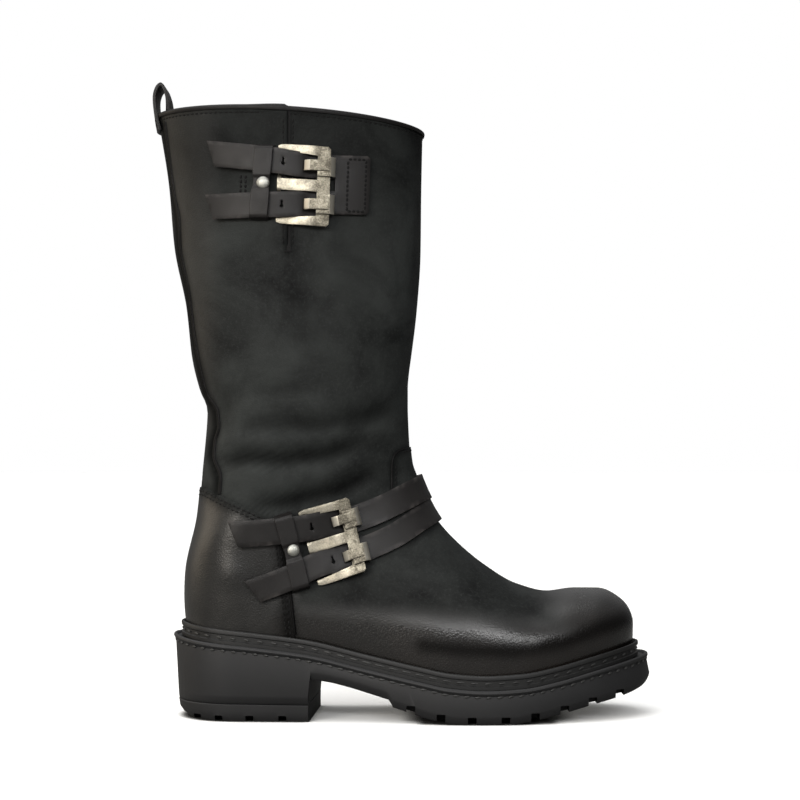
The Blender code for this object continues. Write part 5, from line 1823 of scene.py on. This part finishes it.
class Patch:
    """A smooth stretch of the outer side, fitted to the upper there, that flat pieces are bent to."""

    FIRST_U = -58
    LAST_U = 40
    HALF_HEIGHT = 28
    PITCH = 7
    LENGTH = 50
    NEAR = 0.5

    def __init__(self, surface, spot):
        tilt = math.radians(spot.tilt_deg)
        self.spot = spot
        self.cos = math.cos(tilt)
        self.sin = math.sin(tilt)
        ups = range(-self.HALF_HEIGHT, self.HALF_HEIGHT + 1, self.PITCH)
        samples = [(u, v) for u in range(self.FIRST_U, self.LAST_U + 1, self.PITCH) for v in ups]
        depths = []
        for u, v in samples:
            x, z = self.side_view(u, v)
            depths.append(unplace(on_side(surface, x, z, LATERAL)[0])[1])
        terms = np.array([self.terms(u, v) for u, v in samples])
        self.factors = np.linalg.lstsq(terms, np.array(depths), rcond=None)[0]

    def side_view(self, u, v):
        """x and z of a place on the patch."""
        return self.spot.x + u * self.cos - v * self.sin, self.spot.z + u * self.sin + v * self.cos

    @classmethod
    def terms(cls, u, v):
        """The shapes that the patch is a sum of."""
        a = u / cls.LENGTH
        b = v / cls.HALF_HEIGHT
        return [1, a, b, a * a, a * b, b * b, a**3, a * a * b, a * b * b, a**4]

    def base(self, u, v):
        """A place on the patch, on the leather."""
        x, z = self.side_view(u, v)
        return place(x, float(np.dot(self.terms(u, v), self.factors)), z)

    def __call__(self, u, v, n):
        ahead = self.base(u + self.NEAR, v) - self.base(u - self.NEAR, v)
        above = self.base(u, v + self.NEAR) - self.base(u, v - self.NEAR)
        return self.base(u, v) + ahead.cross(above).normalized() * n * MM

    def line(self, start, end, n):
        """A straight line from one u, v to another, at a height over the leather, with its normals."""
        count = max(2, round(math.dist(start, end)))
        found = []
        for k in range(count + 1):
            u, v = (a + (b - a) * k / count for a, b in zip(start, end))
            normal = (self(u, v, 1.0) - self(u, v, 0.0)).normalized()
            found.append((self(u, v, n), normal))
        return found


class Route:
    """A strap's way round the boot, worked out as in the part: along it, across it and out from it."""

    STEP = 1.5
    SPOT_ROUNDS = 3
    NORMAL_ROUNDS = 6
    DROP_ROUNDS = 8

    def __init__(self, surface, stops, width):
        knots = []
        for stop in stops:
            if stop.side == FRONT:
                hit = surface.ray_cast(place(AHEAD_X, 0, stop.z), Vector((-1, 0, 0)))
            else:
                hit = surface.ray_cast(place(stop.x, FAR_OUT * stop.side, stop.z), Vector((0, -stop.side, 0)))
            knots.append(hit[0])
        lengths = lengths_along(knots, span)
        self.length = lengths[-1]
        axes = [smooth_curve(lengths, [knot[k] for knot in knots]) for k in range(3)]
        lift = smooth_curve(lengths, [stop.lift for stop in stops])
        self.count = round(self.length / self.STEP)
        alongs = [self.length * i / self.count for i in range(self.count + 1)]
        nearest = [surface.find_nearest(Vector([axis(along) for axis in axes])) for along in alongs]
        spots = self.soften(np.array([np.array(near[0]) for near in nearest]), self.SPOT_ROUNDS)
        normals = self.soften(np.array([np.array(near[1]) for near in nearest]), self.NORMAL_ROUNDS)
        runs = np.gradient(spots, axis=0)
        across = np.cross(normals, runs)
        across /= np.linalg.norm(across, axis=1)[:, None]
        out = np.cross(runs, across)
        out /= np.linalg.norm(out, axis=1)[:, None]
        half = width / 2
        drops = []
        for spot, side, normal in zip(spots, across, out):
            fall = 0.0
            for sign in (-1, 1):
                edge = Vector(spot + side * sign * half * MM)
                fall += (np.array(surface.find_nearest(edge)[0]) - spot) @ normal / MM / 2
            drops.append(fall / half**2)
        drops = self.soften(np.array(drops)[:, None], self.DROP_ROUNDS)
        lifts = np.array([lift(along) for along in alongs])[:, None]
        self.table = np.hstack([spots, across, out, drops, lifts])

    @staticmethod
    def soften(values, rounds):
        """Evens out neighbours along the way, and leaves both ends."""
        for _ in range(rounds):
            values[1:-1] = (values[:-2] + 2 * values[1:-1] + values[2:]) / 4
        return values

    def __call__(self, s, t, n):
        at = min(max(s / self.length * self.count, 0.0), self.count - 1e-6)
        i = int(at)
        row = self.table[i] + (self.table[i + 1] - self.table[i]) * (at - i)
        spot, across, out, drop, lift = row[:3], row[3:6], row[6:9], row[9], row[10]
        return Vector(spot + (across * t + out * (lift + n + drop * t * t)) * MM)


def keyhole(u, v):
    """A cutter for a strap hole: round at the foot, with a short slit above it."""
    foot = v - HOLE_DROP
    hole = primitive(
        "hole", bpy.ops.mesh.primitive_cylinder_add, vertices=16, radius=HOLE_RADIUS, depth=8,
        location=(u, foot, 1),
    )
    slit = block("slit", (u - HOLE_SLIT, foot, -3), (u + HOLE_SLIT, v + HOLE_SLIT_TOP, 5))
    return cut(hole, slit, operation="UNION")


def tip_cutter(end, middle, width, slant):
    """A cutter for a strap's free end, which slants forward from its top edge to its bottom edge."""
    half = width / 2
    tool = block("tip", (end - 12, middle - half - 1, -2), (end + TIP_TRIM, middle + half + 1, 5))
    for vert in tool.data.vertices:
        if vert.co.y < middle and vert.co.x > end - 1:
            vert.co.x += slant
    return tool


def note_edges(strap, inset):
    """Notes on a strap that is still flat how near each corner is to a cut edge."""
    near = [1 - smooth_step(inset(vert.co.x, vert.co.y) / WORN_EDGE) for vert in strap.data.vertices]
    note(strap, "edge", near)


def build_shaft_strap(patch):
    """The forked strap on the shaft: a sewn base that splits into two tails with slanted ends."""
    back, front = SHAFT_STRAP_ENDS
    half = STRAP_PITCH + STRAP_WIDTH / 2
    strap = plank("shaft_strap_leather", (back, -half, 0), (front, half, STRAP_THICKNESS), SHAFT_STRAP_STEP)
    inner = STRAP_PITCH - STRAP_WIDTH / 2
    cut(strap, block("fork", (back - 5, -inner, -2), (FORK, inner, 5)))
    for middle in (STRAP_PITCH, -STRAP_PITCH):
        cut(strap, tip_cutter(back, middle, STRAP_WIDTH, SHAFT_TIP_SLANT), keyhole(SHAFT_HOLE_U, middle))
    trim_corners(strap, front, half, STRAP_CORNER)
    round_edges(strap, STRAP_ROUND, 2, 50)

    def inset(u, v):
        return half - abs(v) if u > FORK else STRAP_WIDTH / 2 - abs(abs(v) - STRAP_PITCH)

    def surface(u, v, n):
        rise = SHAFT_TAIL_RISE["upper" if v > 0 else "lower"](u)
        shrink = 1 - BASE_SHRINK * rising(u, BASE_SHRINK_FADE)
        return patch(u, v * shrink + rise, SHAFT_STRAP_LIFT(u) + n)

    note_edges(strap, inset)
    lay(strap, surface)
    finish(smooth(strap, 40), STRAP, "strap_leather", "shaft_strap")
    top = LIFT_BASE + STRAP_THICKNESS
    base = [patch.line(a, b, top) for a, b in zip(STRAP_BASE_SEAM, STRAP_BASE_SEAM[1:])]
    sew("strap_base_stitches", base, BASE_STITCH, "strap_leather")
    high, low = STRAP_TACK_ENDS
    tack = [patch.line((u, high), (u, low), 0.0) for u in STRAP_TACKS_U]
    sew("strap_tack_stitches", tack, TACK_STITCH, "upper_leather")


def build_instep_strap(name, surface, spec, node):
    """A strap from its slanted free end, through the buckle and round the instep to its seam inside."""
    route = Route(surface, spec.route, spec.width)
    half = spec.width / 2
    strap = plank(name, (0, -half, 0), (route.length, half, STRAP_THICKNESS), INSTEP_STRAP_STEP)
    cut(strap, tip_cutter(0, 0, spec.width, INSTEP_TIP_SLANT), keyhole(spec.hole_at, 0))
    round_edges(strap, STRAP_ROUND, 2, 50)
    note_edges(strap, lambda s, t: half - abs(t))
    lay(strap, route)
    finish(smooth(strap, 40), STRAP, "strap_leather", node)


def bar_height(u, share):
    """Height of the buckle's frame over the leather: low at the far bar, high at the near one."""
    t = smooth_step((u - FRAME_ENDS[0] - FAR_BAR) / (FRAME_ENDS[1] - NEAR_BAR - FRAME_ENDS[0] - FAR_BAR))
    low = FAR_BAR_HEIGHTS[0] + (NEAR_BAR_HEIGHTS[0] - FAR_BAR_HEIGHTS[0]) * t
    high = FAR_BAR_HEIGHTS[1] + (NEAR_BAR_HEIGHTS[1] - FAR_BAR_HEIGHTS[1]) * t
    return low + (high - low) * share


def note_wear(casting, polish=lambda u: 0.0):
    """Notes on a casting that is still flat what rubbing keeps bright: edges, and flats by their place."""
    worn = []
    for vert, normal in zip(casting.data.vertices, casting.data.vertex_normals):
        flat = max(abs(part) for part in normal.vector)
        worn.append(max(falling(flat, FLAT_NORMAL), polish(vert.co.x)))
    note(casting, "wear", worn)


def build_frame(name, patch, spot, node):
    """The cast frame: two upright bars and three arms that narrow away from the near bar."""
    back, front = FRAME_ENDS
    end = FRAME_HALF_HEIGHT
    plate = plank(name, (back, -end, 0), (front, end, FRAME_THICKNESS), FRAME_STEP)
    middle = MIDDLE_BAR / 2
    for sign in (-1, 1):
        low, high = sorted((sign * middle, sign * (end - END_BAR_NEAR)))
        window = block("window", (back + FAR_BAR, low, -2), (front - NEAR_BAR, high, 6))
        for vert in window.data.vertices:
            outer = abs(vert.co.y) > middle + 1
            if outer and vert.co.x < 0:
                vert.co.y += sign * (END_BAR_NEAR - END_BAR_FAR)
        cut(plate, window)
    trim_corners(plate, front, end, FRAME_CORNER)
    round_edges(plate, FRAME_ROUND, 3, 50)
    note_wear(plate, lambda u: ARM_POLISH * falling(u, ARM_POLISH_FADE))

    def surface(u, v, n):
        # The far bar lies low under the strap, and the arms' far corners are rounded off
        clear = min(abs(v) - middle, end - END_BAR_FAR - abs(v)) / FAR_BAR_CLEAR
        over_bar = falling(u, FAR_BAR_RAMP)
        n *= 1 - FAR_BAR_SINK * smooth_step(clear) * over_bar
        past = max(back + ARM_END - u, 0.0) / ARM_END
        outer = smooth_step((abs(v) - end + END_BAR_FAR) / END_BAR_FAR)
        v -= math.copysign(ARM_END_ROUND * past * past * outer, v)
        v += spot.up + spot.lean * (front - NEAR_BAR / 2 - u)
        return patch(u, v, bar_height(u, n / FRAME_THICKNESS))

    lay(plate, surface)
    finish(smooth(plate, 40), NICKEL, "buckle_metal", node)


def build_prong(name, patch, v, spot, node):
    """A prong: a sleeve folded over the near bar, and on it a tongue that reaches over the strap."""
    back, front = (end + spot.forward for end in PRONG_SLEEVE)
    foot = NEAR_BAR_HEIGHTS[0] - PRONG_BELOW_BAR
    half = PRONG_HALF_WIDTH
    seat = v + spot.up
    sleeve = plank(name, (back, seat - half, foot), (front, seat + half, PRONG_TOP), PRONG_STEP)
    for vert in sleeve.data.vertices:
        if vert.co.z > PRONG_TOP - 1:
            # The front falls away in a long chamfer
            vert.co.z -= PRONG_FALL * max(vert.co.x - front + PRONG_CHAMFER, 0.0)
    roof = NEAR_BAR_HEIGHTS[1] - PRONG_SEAT
    low = (back - 3, seat - half - 1, foot - 2)
    cut(sleeve, block("channel", low, (front - PRONG_FRONT_WALL, seat + half + 1, roof)))
    round_edges(sleeve, PRONG_ROUND, 3, 30)
    tip_low, tip_high = TONGUE_TIP_HEIGHTS
    wide = TONGUE_HALF_WIDTH
    root = TONGUE_ROOT + spot.forward
    tongue = plank("tongue", (spot.tip, v - wide, tip_low), (root, v + wide, TONGUE_TOP), TONGUE_STEP)
    slope = spot.tip + TONGUE_SLOPE
    for vert in tongue.data.vertices:
        if vert.co.z > TONGUE_TOP - 0.5 and vert.co.x < slope:
            share = (vert.co.x - spot.tip) / (slope - spot.tip)
            vert.co.z = tip_high + (TONGUE_TOP - tip_high) * share
    round_edges(tongue, TONGUE_ROUND, 3, 25)
    for casting in (sleeve, tongue):
        note_wear(casting)
        lay(casting, patch)
    finish(smooth(join(name, [sleeve, tongue]), 35), NICKEL, "buckle_metal", node)


def build_keeper(name, patch, spot, node):
    """A band over both strap tails, pinched down between them."""
    half = STRAP_WIDTH / 2
    edge = half + KEEPER_EDGE
    foot = edge + KEEPER_STEP
    over = KEEPER_OVER + KEEPER_THICKNESS
    low, high = KEEPER_FOOT_HEIGHTS
    # From the band's end, over one tail, to the pinch; the other tail has the same the other way round
    offsets = [-foot - KEEPER_TOE, -foot, -edge, KEEPER_SHOULDER - half, 0.0, edge, foot + KEEPER_STEP]
    heights = [low, high, over - KEEPER_FALL, over, over, over - KEEPER_SAG, over - KEEPER_DIP]
    v_stops = [spot.bottom + offset for offset in offsets] + [spot.top - offset for offset in offsets[::-1]]
    height = smooth_curve(v_stops, heights + heights[::-1])
    columns, rows = 12, 60

    def point(i, j):
        v = v_stops[0] + (v_stops[-1] - v_stops[0]) * j / rows
        across = (v - (spot.top + spot.bottom) / 2) / (spot.top - spot.bottom)
        waist = 1 - KEEPER_WAIST * math.exp(-((across * KEEPER_WAIST_RATE) ** 2))
        u = spot.u + spot.slant * across + spot.width * waist * (i / columns - 0.5)
        return patch(u, v, height(v))

    keeper = thicken_outer(sheet(name, columns, rows, point), KEEPER_THICKNESS)
    round_edges(keeper, KEEPER_ROUND, 2, 50)
    finish(keeper, STRAP, "strap_leather", node)


def build_rivet(name, patch, spot, offset, node):
    """A domed rivet cap with a thin rim."""
    u = spot.u + offset.forward
    v = (spot.top + spot.bottom) / 2 + offset.up
    seat = KEEPER_OVER + KEEPER_THICKNESS - KEEPER_DIP - RIVET_SUNK
    cap = primitive(
        name, bpy.ops.mesh.primitive_uv_sphere_add, segments=40, ring_count=24, radius=RIVET_RADIUS,
    )
    for vert in cap.data.vertices:
        # The lower half is pressed flat, the upper one to a low dome on a thin rim
        rim = max(1 - (vert.co.x**2 + vert.co.y**2) / RIVET_RADIUS**2, 0.0)
        vert.co.z = RIVET_RIM + RIVET_DOME * rim**0.5 if vert.co.z > 0.01 else 0.0
    lay(cap, lambda ahead, above, n: patch(u + ahead, v + above, seat + n))
    weld(cap, 0.005)
    finish(smooth(cap, 60), RIVET, "rivet_metal", node)


# Studio


def hang(light, at, aim):
    """Hangs a light at a place, turned to what it lights."""
    obj = into_scene(light.name, light)
    obj.location = at
    obj.rotation_euler = (Vector(aim) - Vector(at)).to_track_quat("-Z", "Y").to_euler()


def build_floor():
    """A wide pale floor."""
    floor = primitive(
        "studio_floor", bpy.ops.mesh.primitive_grid_add, x_subdivisions=4, y_subdivisions=4, size=FLOOR_SIZE,
    )
    floor.data.materials.append(studio_floor())


def build_world():
    """White to look at; its light grows from the horizon to the top and is stronger from the left."""
    world = bpy.data.worlds.new("studio")
    world.use_nodes = True
    tree = world.node_tree
    backdrop = tree.nodes["Background"]
    backdrop.inputs["Color"].default_value = linear("#ffffff")
    heading = add(tree, "ShaderNodeTexCoord").outputs["Generated"]
    axes = add(tree, "ShaderNodeSeparateXYZ", {"Vector": heading}).outputs
    tent = add(tree, "ShaderNodeMapRange", {
        "Value": axes["Z"], "From Min": 0.0, "From Max": 1.0, "To Min": 0.1, "To Max": 1.0,
    }).outputs["Result"]
    from_left = add(tree, "ShaderNodeMapRange", {
        "Value": axes["X"], "From Min": -1.0, "From Max": 1.0, "To Min": 1.35, "To Max": 0.45,
    }).outputs["Result"]
    lit = add(tree, "ShaderNodeMath", {0: tent, 1: from_left}, operation="MULTIPLY").outputs[0]
    seen = add(tree, "ShaderNodeLightPath").outputs["Is Camera Ray"]
    strength = add(tree, "ShaderNodeMix", {0: seen, 2: lit, 3: 1.0}, data_type="FLOAT").outputs[0]
    tree.links.new(strength, backdrop.inputs["Strength"])
    bpy.context.scene.world = world


def build_lights():
    """A long strip from the front, two softboxes from the left and a wide soft sheet overhead."""
    for lamp in SOFTBOXES:
        light = bpy.data.lights.new(lamp.name, "AREA")
        light.shape = "RECTANGLE"
        light.size = lamp.width
        light.size_y = lamp.height
        light.energy = lamp.power
        light.color = linear(lamp.colour)[:3]
        hang(light, lamp.at, lamp.aim)
    sheet_light = bpy.data.lights.new("top_sheet", "SUN")
    sheet_light.angle = math.radians(TOP_SHEET_ANGLE)
    sheet_light.energy = TOP_SHEET_POWER
    hang(sheet_light, TOP_SHEET_AT, (0.0, 0.0, 0.0))


def build_camera():
    """The camera at the photo's viewing angle."""
    camera = bpy.data.cameras.new("photo_camera")
    camera.sensor_width = SENSOR
    camera.lens = SENSOR * PHOTO_SCALE * CAMERA_DISTANCE / PHOTO_SIZE
    camera.shift_y = (HORIZON_ROW - PHOTO_SIZE / 2) / PHOTO_SIZE
    obj = into_scene("photo_camera", camera)
    obj.location = place(CAMERA_X, ORIGIN_Y - CAMERA_DISTANCE, CAMERA_Z)
    obj.rotation_euler = (math.pi / 2, 0, 0)
    bpy.context.scene.camera = obj
    bpy.context.scene.view_settings.view_transform = "Standard"


def tree_of(obj):
    """A search tree of a mesh, for rays and nearest points."""
    work = bmesh.new()
    work.from_mesh(obj.data)
    tree = BVHTree.FromBMesh(work)
    work.free()
    return tree


def build_boot():
    """All pieces of the boot; the insole stays the part's own and only gets its material."""
    skin = build_skin()
    creased = crease_skin(skin)
    smooth_tree = tree_of(skin)
    creased_tree = tree_of(creased)
    build_upper(creased)
    build_panel(creased, "heel_quarter", quarter_planes(), QUARTER_PROUD)
    build_panel(creased, "vamp_tab", tab_planes(), TAB_PROUD)
    build_slit_lap(creased_tree)
    build_slit_shade_strip(creased_tree)
    build_seams(creased, creased_tree)
    build_binding()
    build_pull_loop()
    build_outsole()
    build_heel_lift()
    build_welt(smooth_tree)
    build_bead_stitches()
    shaft = Patch(smooth_tree, SHAFT_PATCH)
    instep = Patch(smooth_tree, INSTEP_PATCH)
    build_shaft_strap(shaft)
    for level, spec in INSTEP_STRAPS.items():
        build_instep_strap(f"instep_strap_{level}_leather", smooth_tree, spec, f"instep_strap_{level}")
    for name, patch, spot in (("shaft", shaft, SHAFT_KEEPER), ("instep", instep, INSTEP_KEEPER)):
        build_frame(f"{name}_buckle_casting", patch, FRAMES[name], f"{name}_buckle_frame")
        for level, v in (("upper", STRAP_PITCH), ("lower", -STRAP_PITCH)):
            prong = PRONGS[f"{name}_{level}"]
            build_prong(f"{name}_{level}_prong", patch, v, prong, f"{name}_prong_{level}")
        build_keeper(f"{name}_keeper_band", patch, spot, f"{name}_keeper")
        build_rivet(f"{name}_rivet_cap", patch, spot, RIVETS[name], f"{name}_rivet")
    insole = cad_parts["insole"]
    insole.data.materials.clear()
    insole.data.materials.append(SOCK)
    bpy.data.objects.remove(skin)
    bpy.data.objects.remove(creased)


build_boot()
build_floor()
build_world()
build_lights()
build_camera()
